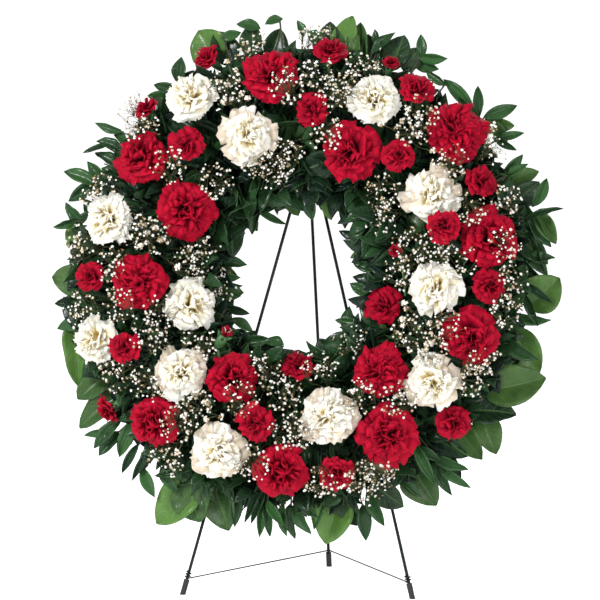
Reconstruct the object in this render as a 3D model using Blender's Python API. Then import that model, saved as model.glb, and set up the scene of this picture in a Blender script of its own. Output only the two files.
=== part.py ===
"""Standing funeral wreath: carnations, mini carnations, baby's breath and greens on a foam ring,
leaning on a folding wire easel. Metres, +Z up, the flowers face -Y, the floor is Z = 0."""

import math
import random

import bmesh
import bpy
from mathutils import Matrix, Vector
from mathutils.geometry import intersect_line_plane

# How the photograph is read: one pixel at the wreath, the pixel of the ring's centre, and the
# direction it looks from, measured from the wreath's own axis
METRES_PER_PIXEL = 0.00127
CENTRE_PIXEL = (305.5, 285.0)
SEEN_FROM_RIGHT = math.radians(8)
SEEN_FROM_BELOW = math.radians(6)

# The wreath leans back on the easel. Its own frame has u to the right, v up and n to the front,
# with n = 0 on the back of its tray
LEAN = math.radians(11)
CENTRE_HEIGHT = 0.398
CENTRE_Y = -0.0272

# Foam ring in its plastic tray
RING_RADIUS = 0.200
FOAM_HALF_WIDTH = 0.040
FOAM_BACK = 0.0021
FOAM_SHOULDER = 0.028
FOAM_TOP = 0.046
TRAY_WALL = 0.0015
TRAY_HEIGHT = 0.012
SEAT_GAP = 0.0003
RING_STEPS = 28
CORE_HEIGHT = 0.022
STEM_DEPTH = 0.016

# Easel of green wire
WIRE = 0.002
CROWN_V = 0.147
LEGS_MEET_V = 0.171
LEG_SLOPE = 0.2546
REAR_REACH = 0.190
EYE_RADIUS = 2 * WIRE + 0.0004
CAP_RADIUS = 0.0036
CAP_HEIGHT = 0.016
CAP_FLOOR = 0.004
STAY_HEIGHT = 0.021
STAY_WIRE = 0.0009
HOOK_REACH = 0.052
HOOK_TURN = 0.012

# Blooms, by the pixel of their middle and their radius in pixels. Lift moves a head along its
# stem, to lie over or under its neighbour
RED = {
    "red_01": (265, 84, 28, 0.000),
    "red_02": (346, 160, 30, 0.000),
    "red_03": (451, 138, 31, 0.000),
    "red_04": (139, 168, 27, 0.000),
    "red_05": (187, 220, 30, 0.000),
    "red_06": (485, 243, 30, 0.000),
    "red_07": (141, 291, 28, 0.000),
    "red_08": (469, 341, 29, 0.000),
    "red_09": (236, 384, 26, 0.000),
    "red_10": (381, 375, 27, 0.000),
    "red_11": (160, 429, 26, 0.000),
    "red_12": (390, 440, 30, 0.000),
    "red_13": (286, 475, 28, 0.000),
}
WHITE = {
    "white_01": (185, 107, 26, 0.000),
    "white_02": (244, 144, 28, 0.000),
    "white_03": (369, 107, 26, 0.000),
    "white_04": (427, 202, 28, -0.008),
    "white_05": (108, 230, 26, 0.000),
    "white_06": (432, 293, 27, 0.000),
    "white_07": (193, 312, 27, 0.000),
    "white_08": (97, 349, 24, -0.008),
    "white_09": (184, 379, 26, 0.000),
    "white_10": (433, 387, 27, 0.000),
    "white_11": (330, 420, 28, 0.000),
    "white_12": (222, 457, 28, 0.000),
}
MINI = {
    "mini_01": (201, 66, 15, 0.000),
    "mini_02": (141, 118, 13, 0.000),
    "mini_03": (184, 154, 18, 0.000),
    "mini_04": (323, 58, 18, 0.000),
    "mini_05": (307, 119, 17, 0.000),
    "mini_06": (385, 70, 9, 0.000),
    "mini_07": (410, 97, 18, 0.012),
    "mini_08": (394, 163, 17, 0.000),
    "mini_09": (477, 188, 17, 0.000),
    "mini_10": (438, 233, 17, 0.016),
    "mini_11": (393, 257, 7, 0.000),
    "mini_12": (487, 290, 17, 0.000),
    "mini_13": (383, 312, 19, 0.000),
    "mini_14": (456, 426, 18, 0.000),
    "mini_15": (340, 477, 18, 0.000),
    "mini_16": (300, 371, 17, 0.000),
    "mini_17": (260, 428, 19, 0.006),
    "mini_18": (112, 419, 15, 0.000),
    "mini_19": (128, 356, 16, 0.014),
    "mini_20": (92, 286, 16, 0.000),
}
BUD = {"bud_01": (228, 343, 6, 0.000)}

# Small heads whose stems fork off the stem of a neighbour of their colour, under the heads
FORKED = {
    "mini_03": "red_04",
    "mini_06": "mini_07",
    "mini_08": "red_02",
    "mini_11": "mini_13",
    "mini_12": "red_06",
    "mini_17": "red_09",
    "mini_20": "red_07",
    "bud_01": "red_09",
}

# Reach of a head from the ring's core, and the forms of the three kinds of bloom:
# height of the petals, calyx length and radius, stem radius, points round, and tiers of petals
# as (rim radius, rim height, fold radius, fold height) in shares of radius and height
REACH = 0.098
LARGE_FORM = {
    "height": 0.036,
    "calyx": (0.022, 0.0070),
    "stem": 0.0024,
    "points": 11,
    "tiers": [
        (1.00, 0.42, 0.52, 0.44),
        (0.84, 0.72, 0.38, 0.66),
        (0.55, 0.96, 0.20, 0.78),
    ],
}
MINI_FORM = {
    "height": 0.022,
    "calyx": (0.018, 0.0050),
    "stem": 0.0018,
    "points": 9,
    "tiers": [(1.00, 0.55, 0.45, 0.55), (0.72, 0.98, 0.22, 0.78)],
}
BUD_FORM = {
    "height": 0.016,
    "calyx": (0.020, 0.0050),
    "stem": 0.0018,
    "points": 8,
    "tiers": [(1.00, 0.30, 0.55, 0.90)],
}

# Baby's breath: the pixel that each spray rises to, and its spread in pixels
BREATH = {
    "breath_01": (226, 100, 40),
    "breath_02": (412, 132, 40),
    "breath_03": (150, 250, 40),
    "breath_04": (421, 336, 40),
    "breath_05": (197, 428, 40),
    "breath_06": (366, 408, 40),
}
BREATH_REACH = 0.108
BREATH_BRANCHES = 5
FLORET_RADIUS = 0.0042
BREATH_STEM = 0.0012
BREATH_TWIG = 0.0008

# Greens, in sectors that split them round the wreath's hole
SECTORS = 8
SECTOR_GAP = math.radians(0.35)
ARC_END_GAP = math.radians(3.5)
ARC_OFFSET = 0.046
ARC_HEIGHT = 0.014
TWIG = 0.0017
THIN_TWIG = 0.0010
LEAF_THICKNESS = 0.0016
LEAF_ROOT = 0.004
LEAF_ROOM = 0.0035
CLEAR = 0.0012
TRIES = 150
SEED = 7

COLOURS = {
    "steel": ((0.020, 0.045, 0.035), 0.40, 0.6),
    "rubber": ((0.015, 0.015, 0.015), 0.80, 0.0),
    "tray": ((0.020, 0.070, 0.030), 0.50, 0.0),
    "foam": ((0.060, 0.190, 0.080), 0.90, 0.0),
    "greens": ((0.030, 0.120, 0.035), 0.35, 0.0),
    "red_petals": ((0.520, 0.005, 0.020), 0.60, 0.0),
    "white_petals": ((0.900, 0.860, 0.740), 0.60, 0.0),
    "breath": ((0.850, 0.830, 0.760), 0.70, 0.0),
}


# The wreath's frame

AXIS_U = Vector((1, 0, 0))
AXIS_V = Vector((0, math.sin(LEAN), math.cos(LEAN)))
AXIS_N = Vector((0, -math.cos(LEAN), math.sin(LEAN)))
CENTRE = Vector((0, CENTRE_Y, CENTRE_HEIGHT))


def world(point):
    """A point of the wreath's frame (u, v, n) as a point of the object."""
    return CENTRE + AXIS_U * point[0] + AXIS_V * point[1] + AXIS_N * point[2]


def outward(point):
    """Unit vector from the wreath's axis to the point, in the wreath's plane."""
    return Vector((point[0], point[1], 0)).normalized()


def core_of(point):
    """The point of the ring's core circle that is nearest in angle."""
    return outward(point) * RING_RADIUS + Vector((0, 0, CORE_HEIGHT))


def foam_profile():
    """The foam's section as (offset from the ring radius, height)."""
    wide, top = FOAM_HALF_WIDTH, FOAM_TOP
    right = [(wide, FOAM_BACK), (wide, FOAM_SHOULDER), (wide * 0.76, top * 0.90)]
    crown = [(wide * 0.30, top), (-wide * 0.30, top)]
    return right + crown + [(-x, y) for x, y in reversed(right)]


def foam_distance(angle):
    """Distance from the core to the foam's surface, at an angle from the front towards outside."""
    ray = Vector((math.sin(angle), math.cos(angle)))
    outline = [Vector((x, y - CORE_HEIGHT)) for x, y in foam_profile()]
    for a, b in zip(outline, outline[1:]):
        side = b - a
        across = ray.x * side.y - ray.y * side.x
        if abs(across) < 1e-12:
            continue
        along = (a.x * side.y - a.y * side.x) / across
        share = (a.x * ray.y - a.y * ray.x) / across
        if along > 0 and -1e-9 <= share <= 1 + 1e-9:
            return along
    return FOAM_HALF_WIDTH


def section_angle(point):
    """Angle of a point round the core, from the front towards outside."""
    offset = math.hypot(point[0], point[1]) - RING_RADIUS
    return math.atan2(offset, point[2] - CORE_HEIGHT)


def place(pixel_x, pixel_y, reach, lift=0.0):
    """The point of the wreath's frame that the photograph shows at a pixel, on a tube of the
    given radius round the ring's core."""
    right = (pixel_x - CENTRE_PIXEL[0]) * METRES_PER_PIXEL
    up = (CENTRE_PIXEL[1] - pixel_y) * METRES_PER_PIXEL
    height = CORE_HEIGHT + reach
    for _ in range(8):
        u = (right + height * math.sin(SEEN_FROM_RIGHT)) / math.cos(SEEN_FROM_RIGHT)
        v = (up - height * math.sin(SEEN_FROM_BELOW)) / math.cos(SEEN_FROM_BELOW)
        offset = abs(math.hypot(u, v) - RING_RADIUS)
        steepest = math.radians(74)
        slope = math.asin(min(offset / reach, math.sin(steepest)))
        height = CORE_HEIGHT + lift + max(reach * math.cos(slope), offset / math.tan(steepest))
    return Vector((u, v, height))


# Meshes


def recalculated(vertices, faces, name):
    """A mesh object with its faces turned outwards."""
    mesh = bpy.data.meshes.new(name)
    mesh.from_pydata([tuple(v) for v in vertices], [], faces)
    mesh.update()
    volume = 0.0
    mesh.calc_loop_triangles()
    for triangle in mesh.loop_triangles:
        a, b, c = (mesh.vertices[i].co for i in triangle.vertices)
        volume += a.dot(b.cross(c))
    if volume < 0:
        mesh.flip_normals()
    part = bpy.data.objects.new(name, mesh)
    bpy.context.scene.collection.objects.link(part)
    return part


def tube(points, radii, sides, reference):
    """Vertices and faces of a closed tube along points. Its corners are turned by reference."""
    points = [Vector(p) for p in points]
    vertices, faces = [], []
    for i, point in enumerate(points):
        before = points[max(i - 1, 0)]
        after = points[min(i + 1, len(points) - 1)]
        along = (after - before).normalized()
        side = (reference - along * reference.dot(along)).normalized()
        other = along.cross(side)
        for k in range(sides):
            turn = 2 * math.pi * k / sides
            spoke = side * math.cos(turn) + other * math.sin(turn)
            vertices.append(point + spoke * radii[i])
    for i in range(len(points) - 1):
        for k in range(sides):
            a, b = i * sides + k, i * sides + (k + 1) % sides
            faces.append((a, b, b + sides, a + sides))
    faces.append(tuple(reversed(range(sides))))
    last = (len(points) - 1) * sides
    faces.append(tuple(range(last, last + sides)))
    return vertices, faces


def joined(name, shapes):
    """One object from closed shapes (vertices, faces), by a Boolean union. EXACT leaves the
    leaves' thin crossings open, so the solver is MANIFOLD."""
    objects = [recalculated(v, f, f"{name}_{i}") for i, (v, f) in enumerate(shapes)]
    body = objects[0]
    if len(objects) > 1:
        others = bpy.data.collections.new(name + "_parts")
        for other in objects[1:]:
            others.objects.link(other)
        union = body.modifiers.new("union", "BOOLEAN")
        union.operation = "UNION"
        union.operand_type = "COLLECTION"
        union.collection = others
        union.solver = "MANIFOLD"
        applied(body)
        for other in objects[1:]:
            bpy.data.objects.remove(other)
        bpy.data.collections.remove(others)
    body.name = name
    return body


def applied(body):
    """Replaces an object's mesh by the one that its modifiers make."""
    graph = bpy.context.evaluated_depsgraph_get()
    mesh = bpy.data.meshes.new_from_object(body.evaluated_get(graph))
    body.modifiers.clear()
    body.data = mesh


def keep_main_body(body):
    """Drops loose scraps, and the walls of hollows that the union sealed."""
    mesh = bmesh.new()
    mesh.from_mesh(body.data)
    left, bodies = set(mesh.faces), []
    while left:
        found, edge = set(), [left.pop()]
        while edge:
            face = edge.pop()
            found.add(face)
            for near in (other for e in face.edges for other in e.link_faces):
                if near in left:
                    left.remove(near)
                    edge.append(near)
        bodies.append(found)
    bodies.sort(key=lambda faces: sum(face.calc_area() for face in faces))
    for faces in bodies[:-1]:
        bmesh.ops.delete(mesh, geom=list(faces), context="FACES")
    mesh.to_mesh(body.data)
    mesh.free()


def cut(body, shapes):
    """Cuts closed shapes out of an object."""
    cutter = joined(body.name + "_cutter", shapes)
    difference = body.modifiers.new("cut", "BOOLEAN")
    difference.operation = "DIFFERENCE"
    difference.object = cutter
    difference.solver = "MANIFOLD"
    applied(body)
    bpy.data.objects.remove(cutter)


def finished(body, material):
    """Gives a node its material and puts it, from the wreath's frame, in its real place."""
    keep_main_body(body)
    turn = Matrix((AXIS_U, AXIS_V, AXIS_N)).transposed().to_4x4()
    body.data.transform(Matrix.Translation(CENTRE) @ turn)
    body.data.materials.clear()
    body.data.materials.append(material)
    return body


def finish_of(slot):
    """The plain material of one of the object's finishes."""
    colour, roughness, metallic = COLOURS[slot]
    material = bpy.data.materials.new(slot)
    material.use_nodes = True
    shader = material.node_tree.nodes["Principled BSDF"]
    shader.inputs["Base Color"].default_value = (*colour, 1)
    shader.inputs["Roughness"].default_value = roughness
    shader.inputs["Metallic"].default_value = metallic
    material.diffuse_color = (*colour, 1)
    return material


# Easel


def plane_point(u, height, depth):
    """A point of the wreath's frame at a height over the floor, on the plane n = depth."""
    v = (height - CENTRE_HEIGHT - depth * AXIS_N.z) / AXIS_V.z
    return Vector((u, v, depth))


LEG_PLANE = -WIRE - SEAT_GAP
CROWN = Vector((0, CROWN_V, LEG_PLANE))


def leg_point(side, height):
    """A point of a front leg's middle at a height over the floor."""
    point = plane_point(0, height, LEG_PLANE)
    point.x = side * LEG_SLOPE * (LEGS_MEET_V - point.y)
    return point


def unworld(point):
    """A point of the object in the wreath's frame."""
    offset = Vector(point) - CENTRE
    return Vector((offset.dot(AXIS_U), offset.dot(AXIS_V), offset.dot(AXIS_N)))


def rear_foot():
    """Where the rear leg meets the floor."""
    crown = world(CROWN)
    return unworld((0, crown.y + REAR_REACH, 0))


def crown_bend(side):
    """Points of the bend from the crown's flat into a leg, from the crown outwards."""
    flat = LEG_SLOPE * (LEGS_MEET_V - CROWN_V)
    radius = 0.005
    lean = math.atan(LEG_SLOPE)
    turn = math.pi / 2 - lean
    tangent = radius * math.tan(turn / 2)
    middle = Vector((side * (flat - tangent), CROWN_V - radius, LEG_PLANE))
    points = []
    for step in range(5):
        angle = turn * step / 4
        points.append(middle + Vector((side * math.sin(angle), math.cos(angle), 0)) * radius)
    return points


def hook_shape(side):
    """A wreath hook: out from a front leg, under the tray, and turned up before the foam."""
    radius = RING_RADIUS + FOAM_HALF_WIDTH + TRAY_WALL + 2 * SEAT_GAP + WIRE
    slope, meet = LEG_SLOPE, LEGS_MEET_V
    # where the leg crosses the circle of that radius: u = slope * (meet - v), u^2 + v^2 = r^2
    a, b, c = 1 + slope**2, -2 * slope**2 * meet, (slope * meet) ** 2 - radius**2
    v = (-b - math.sqrt(b * b - 4 * a * c)) / (2 * a)
    foot = Vector((side * slope * (meet - v), v, LEG_PLANE))
    inward = -outward(foot)
    corner = foot + Vector((0, 0, HOOK_REACH - LEG_PLANE))
    bend = [corner - Vector((0, 0, 2 * WIRE)), corner + inward * WIRE * 0.6, corner + inward * WIRE * 2]
    points = [foot, bend[0], bend[1], corner + inward * HOOK_TURN]
    return points


def tube_shape(points, radius, sides, reference):
    return tube(points, [radius] * len(points), sides, reference)


def front_frame(steel):
    """Two front legs bent from one wire over a flat crown, with two welded hooks."""
    end = CAP_FLOOR + SEAT_GAP
    path = [leg_point(-1, end)]
    path += reversed(crown_bend(-1))
    path += crown_bend(1)
    path.append(leg_point(1, end))
    shapes = [tube_shape(path, WIRE, 8, Vector((0, 0, 1)))]
    for side in (-1, 1):
        shapes.append(tube_shape(hook_shape(side), WIRE * 0.9, 6, Vector((1, 0, 0))))
    return finished(joined("front_frame", shapes), steel)


def rear_direction():
    """Unit vector down the rear leg, and the unit vector behind it."""
    down = (rear_foot() - CROWN).normalized()
    behind = Vector((1, 0, 0)).cross(down)
    return down, behind


def rear_path():
    """The rear leg's wire: an eye round the crown, then straight down to its foot cap."""
    down, behind = rear_direction()
    if behind.z > 0:
        behind = -behind
    points = []
    for step in range(12):
        angle = math.radians(-295 + 295 * step / 11)
        points.append(CROWN + (behind * math.cos(angle) + down * math.sin(angle)) * EYE_RADIUS)
    start = CROWN + behind * EYE_RADIUS
    ends = [world(start), world(start + down)]
    foot = intersect_line_plane(ends[0], ends[1], Vector((0, 0, CAP_FLOOR + SEAT_GAP)), Vector((0, 0, 1)))
    points.append(unworld(foot))
    return points


def rear_leg(steel):
    path = rear_path()
    return finished(joined("rear_leg", [tube_shape(path, WIRE, 8, Vector((1, 0, 0)))]), steel)


def foot_cap(name, lower, upper, rubber):
    """A rubber cap on a leg's end: a bored cylinder along the leg, cut flat at the floor."""
    along = (upper - lower).normalized()
    shape = tube_shape([lower - along * 0.012, lower + along * CAP_HEIGHT], CAP_RADIUS, 12, Vector((1, 0, 0)))
    cap = joined(name, [shape])
    corners = []
    for height in (-0.05, 0.0):
        for x, y in ((-0.03, -0.03), (0.03, -0.03), (0.03, 0.03), (-0.03, 0.03)):
            corner = world(lower) + Vector((x, y, 0))
            corner.z = height
            corners.append(unworld(corner))
    sides = [(0, 1, 5, 4), (1, 2, 6, 5), (2, 3, 7, 6), (3, 0, 4, 7), (0, 3, 2, 1), (4, 5, 6, 7)]
    cut(cap, [(corners, sides)])
    bore = tube_shape([lower, lower + along * CAP_HEIGHT * 2], WIRE + SEAT_GAP, 8, Vector((0, 0, 1)))
    cut(cap, [bore])
    return finished(cap, rubber)


def foot_caps(rubber):
    for name, side in (("foot_cap_left", -1), ("foot_cap_right", 1)):
        foot_cap(name, leg_point(side, CAP_FLOOR), leg_point(side, 0.1), rubber)
    path = rear_path()
    along = (path[-2] - path[-1]).normalized()
    foot_cap("foot_cap_rear", path[-1] - along * SEAT_GAP, path[-2], rubber)


def stay_path():
    """The thin wire that keeps the legs from spreading: from one front leg, behind the rear
    leg, to the other front leg."""
    rear = rear_path()
    down = (rear[-1] - rear[-2]).normalized()
    start, end = world(rear[-2]), world(rear[-1])
    share = (start.z - STAY_HEIGHT) / (start.z - end.z)
    rear_middle = unworld(start.lerp(end, share))
    behind = Vector((1, 0, 0)).cross(down)
    if behind.z > 0:
        behind = -behind
    apart = WIRE + STAY_WIRE + SEAT_GAP
    bend = []
    for step in range(5):
        angle = math.radians(-70 + 35 * step)
        bend.append(rear_middle + (behind * math.cos(angle) + Vector((1, 0, 0)) * math.sin(angle)) * apart)
    left = leg_point(-1, STAY_HEIGHT)
    right = leg_point(1, STAY_HEIGHT)
    eye = WIRE + STAY_WIRE + SEAT_GAP
    left_end = left + (bend[0] - left).normalized() * eye
    right_end = right + (bend[-1] - right).normalized() * eye
    return left, right, eye, [left_end, *bend, right_end]


def stay_wire(steel):
    left, right, eye, path = stay_path()
    shapes = [tube_shape(path, STAY_WIRE, 5, (rear_path()[-1] - rear_path()[-2]).normalized())]
    for side, middle in ((-1, left), (1, right)):
        along = (leg_point(side, 0.2) - middle).normalized()
        first = Vector((0, 0, 1)).cross(along).normalized()
        second = along.cross(first)
        vertices, faces = [], []
        steps, corners = 8, 3
        for i in range(steps):
            angle = 2 * math.pi * i / steps
            spoke = first * math.cos(angle) + second * math.sin(angle)
            for k in range(corners):
                turn = 2 * math.pi * k / corners
                vertices.append(
                    middle + spoke * (eye + 0.0004 + STAY_WIRE * math.cos(turn)) + along * STAY_WIRE * math.sin(turn)
                )
        for i in range(steps):
            for k in range(corners):
                a, b = i * corners + k, i * corners + (k + 1) % corners
                c, d = (i + 1) % steps * corners + k, (i + 1) % steps * corners + (k + 1) % corners
                faces.append((a, b, d, c))
        shapes.append((vertices, faces))
    return finished(joined("stay_wire", shapes), steel)


# Ring


def turned(name, profile):
    """A ring turned from a closed section of (radius, height)."""
    vertices, faces = [], []
    count = len(profile)
    for i in range(RING_STEPS):
        angle = 2 * math.pi * (i + 0.5) / RING_STEPS
        for radius, height in profile:
            vertices.append((radius * math.cos(angle), radius * math.sin(angle), height))
    for i in range(RING_STEPS):
        for k in range(count):
            a, b = i * count + k, i * count + (k + 1) % count
            c, d = (i + 1) % RING_STEPS * count + k, (i + 1) % RING_STEPS * count + (k + 1) % count
            faces.append((a, b, d, c))
    return joined(name, [(vertices, faces)])


def ring(tray_finish, foam_finish, roots):
    """The tray, and the foam with a hole for each stem that stands in it."""
    inside = FOAM_HALF_WIDTH + SEAT_GAP
    outside = inside + TRAY_WALL
    floor = SEAT_GAP + TRAY_WALL
    half = [(outside, SEAT_GAP), (outside, TRAY_HEIGHT), (inside, TRAY_HEIGHT), (inside, floor)]
    section = half + [(-x, y) for x, y in reversed(half)]
    tray = turned("tray", [(RING_RADIUS + x, y) for x, y in section])
    finished(tray, tray_finish)
    foam = turned("foam_ring", [(RING_RADIUS + x, y) for x, y in foam_profile()])
    holes = []
    for above, end, radius, sides, reference in roots:
        along = (end - above).normalized()
        holes.append(
            tube_shape([above - along * 0.004, end + along * SEAT_GAP], radius + SEAT_GAP, sides, reference)
        )
    cut(foam, holes)
    finished(foam, foam_finish)


# Blooms


class Bloom:
    """Where a bloom's parts lie: its face, its petals' base, its calyx and its root."""

    def __init__(self, name, pixel, form, turn_share):
        x, y, size, lift = pixel
        self.name = name
        self.form = form
        self.radius = size * METRES_PER_PIXEL
        self.face = place(x, y, REACH, lift)
        angle = section_angle(self.face) * turn_share
        out = outward(self.face)
        self.axis = Vector((0, 0, math.cos(angle))) + out * math.sin(angle)
        self.height = form["height"] * min(1.0, self.radius / (form["height"] * 0.85))
        self.base = self.face - self.axis * self.height * 0.55
        self.calyx_end = self.base - self.axis * form["calyx"][0]
        self.set_root(self.calyx_end)

    def set_root(self, near):
        core = core_of(near)
        toward = near - core
        angle = section_angle(near)
        surface = foam_distance(angle)
        direction = toward.normalized()
        self.tangent = outward(near).cross(Vector((0, 0, 1)))
        self.entry = core + direction * surface
        self.root = core + direction * (surface - STEM_DEPTH)


def all_blooms():
    blooms = []
    for table, form, share in ((RED, LARGE_FORM, 0.55), (WHITE, LARGE_FORM, 0.55), (MINI, MINI_FORM, 0.75)):
        blooms += [Bloom(name, pixel, form, share) for name, pixel in table.items()]
    blooms += [Bloom(name, pixel, BUD_FORM, 1.1) for name, pixel in BUD.items()]
    return blooms


def head_shape(bloom):
    """Closed tiers of ruffled petals. Each tier's rim is notched and waved, and the fold under
    the next tier lies deep inside it."""
    draw = random.Random(bloom.name)
    count, height, radius = bloom.form["points"], bloom.height, bloom.radius
    side = (bloom.tangent - bloom.axis * bloom.tangent.dot(bloom.axis)).normalized()
    other = bloom.axis.cross(side)
    start = draw.uniform(0, 2 * math.pi)
    rings = [[(0.14 * radius, 0.0)] * count]
    for tier, (rim, rim_height, fold, fold_height) in enumerate(bloom.form["tiers"]):
        teeth = []
        for k in range(count):
            notched = (k + tier) % 2
            share = rim * (1 - 0.17 * notched) * draw.uniform(0.95, 1.0)
            wave = (0.05 if notched else -0.05) + draw.uniform(-0.03, 0.03)
            teeth.append((share * radius, (rim_height + wave) * height))
        rings.append(teeth)
        rings.append([(fold * radius, fold_height * height)] * count)
    vertices = [bloom.base - bloom.axis * 0.001]
    for points in rings:
        for k, (out, up) in enumerate(points):
            angle = start + 2 * math.pi * k / count
            spoke = side * math.cos(angle) + other * math.sin(angle)
            vertices.append(bloom.base + spoke * out + bloom.axis * up)
    vertices.append(bloom.base + bloom.axis * height * 0.92)
    faces = []
    last = 1 + (len(rings) - 1) * count
    for k in range(count):
        after = (k + 1) % count
        faces.append((0, 1 + after, 1 + k))
        faces.append((len(vertices) - 1, last + k, last + after))
        for i in range(len(rings) - 1):
            a, b = 1 + i * count + k, 1 + i * count + after
            faces += [(a, b, b + count), (a, b + count, a + count)]
    return vertices, faces


def stem_shape(bloom):
    """Calyx and stem, from inside the petals to the root in the foam."""
    length, wide = bloom.form["calyx"]
    stem = bloom.form["stem"]
    points = [bloom.base + bloom.axis * 0.004, bloom.calyx_end, bloom.root]
    return tube(points, [wide, stem * 1.25, stem], 5, bloom.tangent)


def bloom_nodes(blooms, finishes):
    """One node for each bloom, with the small ones that fork off its stem."""
    by_name = {bloom.name: bloom for bloom in blooms}
    for small, large in FORKED.items():
        mother = by_name[large]
        child = by_name[small]
        child.root = mother.calyx_end.lerp(mother.root, 0.2)
    shapes = {}
    for bloom in blooms:
        owner = FORKED.get(bloom.name, bloom.name)
        shapes.setdefault(owner, []).extend([head_shape(bloom), stem_shape(bloom)])
    for owner, parts in shapes.items():
        kind = "white_petals" if owner.startswith("white") else "red_petals"
        finished(joined("carnation_" + owner, parts), finishes[kind])


def bloom_roots(blooms):
    """The holes that the blooms' stems stand in."""
    return [
        (bloom.entry.lerp(bloom.calyx_end, 0.1), bloom.root, bloom.form["stem"], 5, bloom.tangent)
        for bloom in blooms
        if bloom.name not in FORKED
    ]


# What leaves and sprays keep clear of


class Obstacles:
    """Heads as cones under a drum, stems and wires as round rods, and florets as balls."""

    def __init__(self, blooms):
        self.heads = [(b.base, b.axis, b.radius, b.height) for b in blooms]
        self.rods = []
        for bloom in blooms:
            wide = bloom.form["calyx"][1]
            self.rods.append((bloom.base, bloom.calyx_end, wide))
            self.rods.append((bloom.calyx_end, bloom.root, bloom.form["stem"] * 1.25))
        for side in (-1, 1):
            hook = hook_shape(side)
            self.rods += [(a, b, WIRE) for a, b in zip(hook, hook[1:])]
        self.rods.append((CROWN, CROWN, EYE_RADIUS + WIRE + 0.001))

    def blocked(self, point, room):
        """True if a ball of that radius round the point touches an obstacle."""
        for base, axis, radius, height in self.heads:
            offset = point - base
            if offset.length > radius + height + room:
                continue
            along = offset.dot(axis)
            if not -room < along < height * 1.06 + room:
                continue
            out = (offset - axis * along).length
            rim = height * 0.36
            wide = radius * min(1.0, 0.14 + 0.86 * max(along, 0) / rim) + room * 1.2
            if out < wide:
                return True
        for a, b, radius in self.rods:
            side = b - a
            length = side.length_squared
            share = max(0.0, min(1.0, (point - a).dot(side) / length)) if length else 0.0
            if (a + side * share - point).length < radius + room:
                return True
        offset = math.hypot(point.x, point.y) - RING_RADIUS
        wall = FOAM_HALF_WIDTH + TRAY_WALL + SEAT_GAP
        if abs(offset) < wall + room and point.z < TRAY_HEIGHT + room:
            return True
        if abs(offset) < FOAM_HALF_WIDTH + room and point.z < FOAM_TOP + room:
            away = math.hypot(offset, point.z - CORE_HEIGHT)
            if away < foam_distance(math.atan2(offset, point.z - CORE_HEIGHT)) + room:
                return True
        return point.z < 0.002 + room

    def rod_blocked(self, a, b, radius):
        steps = max(2, int((b - a).length / 0.004))
        return any(self.blocked(a.lerp(b, i / steps), radius) for i in range(steps + 1))


# Baby's breath


def octahedron(middle, radius, turn):
    vertices = []
    for axis in (Vector((1, 0, 0)), Vector((0, 1, 0)), Vector((0, 0, 1))):
        turned_axis = turn @ axis
        vertices += [middle + turned_axis * radius, middle - turned_axis * radius]
    faces = [(0, 2, 4), (2, 1, 4), (1, 3, 4), (3, 0, 4), (2, 0, 5), (1, 2, 5), (3, 1, 5), (0, 3, 5)]
    return vertices, faces


def breath_spray(name, pixel, obstacles, finish, roots):
    """A forked spray: a stem from the foam, branches that fan out, and a floret on each tip."""
    draw = random.Random(name)
    x, y, spread = pixel
    top = place(x, y, BREATH_REACH)
    core = core_of(top)
    direction = (top - core).normalized()
    surface = foam_distance(section_angle(top))
    root = core + direction * (surface - STEM_DEPTH)
    fork = core + direction * (surface + 0.022)
    tangent = outward(top).cross(Vector((0, 0, 1)))
    shapes = [tube([root, fork], [BREATH_STEM, BREATH_STEM], 4, tangent)]
    rods, balls = [(root, fork, BREATH_STEM)], []
    other = direction.cross(tangent)
    for branch in range(BREATH_BRANCHES):
        for _ in range(60):
            angle = 2 * math.pi * (branch + draw.uniform(-0.4, 0.4)) / BREATH_BRANCHES
            reach = spread * METRES_PER_PIXEL * math.sqrt(draw.uniform(0.05, 1.0))
            tip = top + (tangent * math.cos(angle) + other * math.sin(angle)) * reach
            tip += direction * draw.uniform(-0.006, 0.006)
            if obstacles.rod_blocked(fork, tip, BREATH_TWIG + CLEAR):
                continue
            if obstacles.blocked(tip, FLORET_RADIUS + CLEAR):
                continue
            turn = Matrix.Rotation(draw.uniform(0, 3), 3, direction)
            shapes.append(tube([fork, tip], [BREATH_TWIG, BREATH_TWIG], 3, tangent))
            shapes.append(octahedron(tip, FLORET_RADIUS, turn))
            rods.append((fork, tip, BREATH_TWIG))
            balls.append((tip, tip, FLORET_RADIUS))
            for _ in range(1):
                mid = fork.lerp(tip, draw.uniform(0.55, 0.75))
                aside = (tangent * draw.uniform(-1, 1) + other * draw.uniform(-1, 1)).normalized()
                end = mid + (aside * 0.8 + direction * 0.7) * draw.uniform(0.010, 0.015)
                if obstacles.rod_blocked(mid, end, BREATH_TWIG + CLEAR):
                    continue
                if obstacles.blocked(end, FLORET_RADIUS + CLEAR):
                    continue
                shapes.append(tube([mid, end], [BREATH_TWIG, BREATH_TWIG], 3, tangent))
                shapes.append(octahedron(end, FLORET_RADIUS * 0.9, turn))
                rods.append((mid, end, BREATH_TWIG))
                balls.append((end, end, FLORET_RADIUS))
            break
    finished(joined(name, shapes), finish)
    roots.append((core + direction * (surface + 0.003), root, BREATH_STEM, 4, tangent))
    return rods + balls


# Greens


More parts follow.
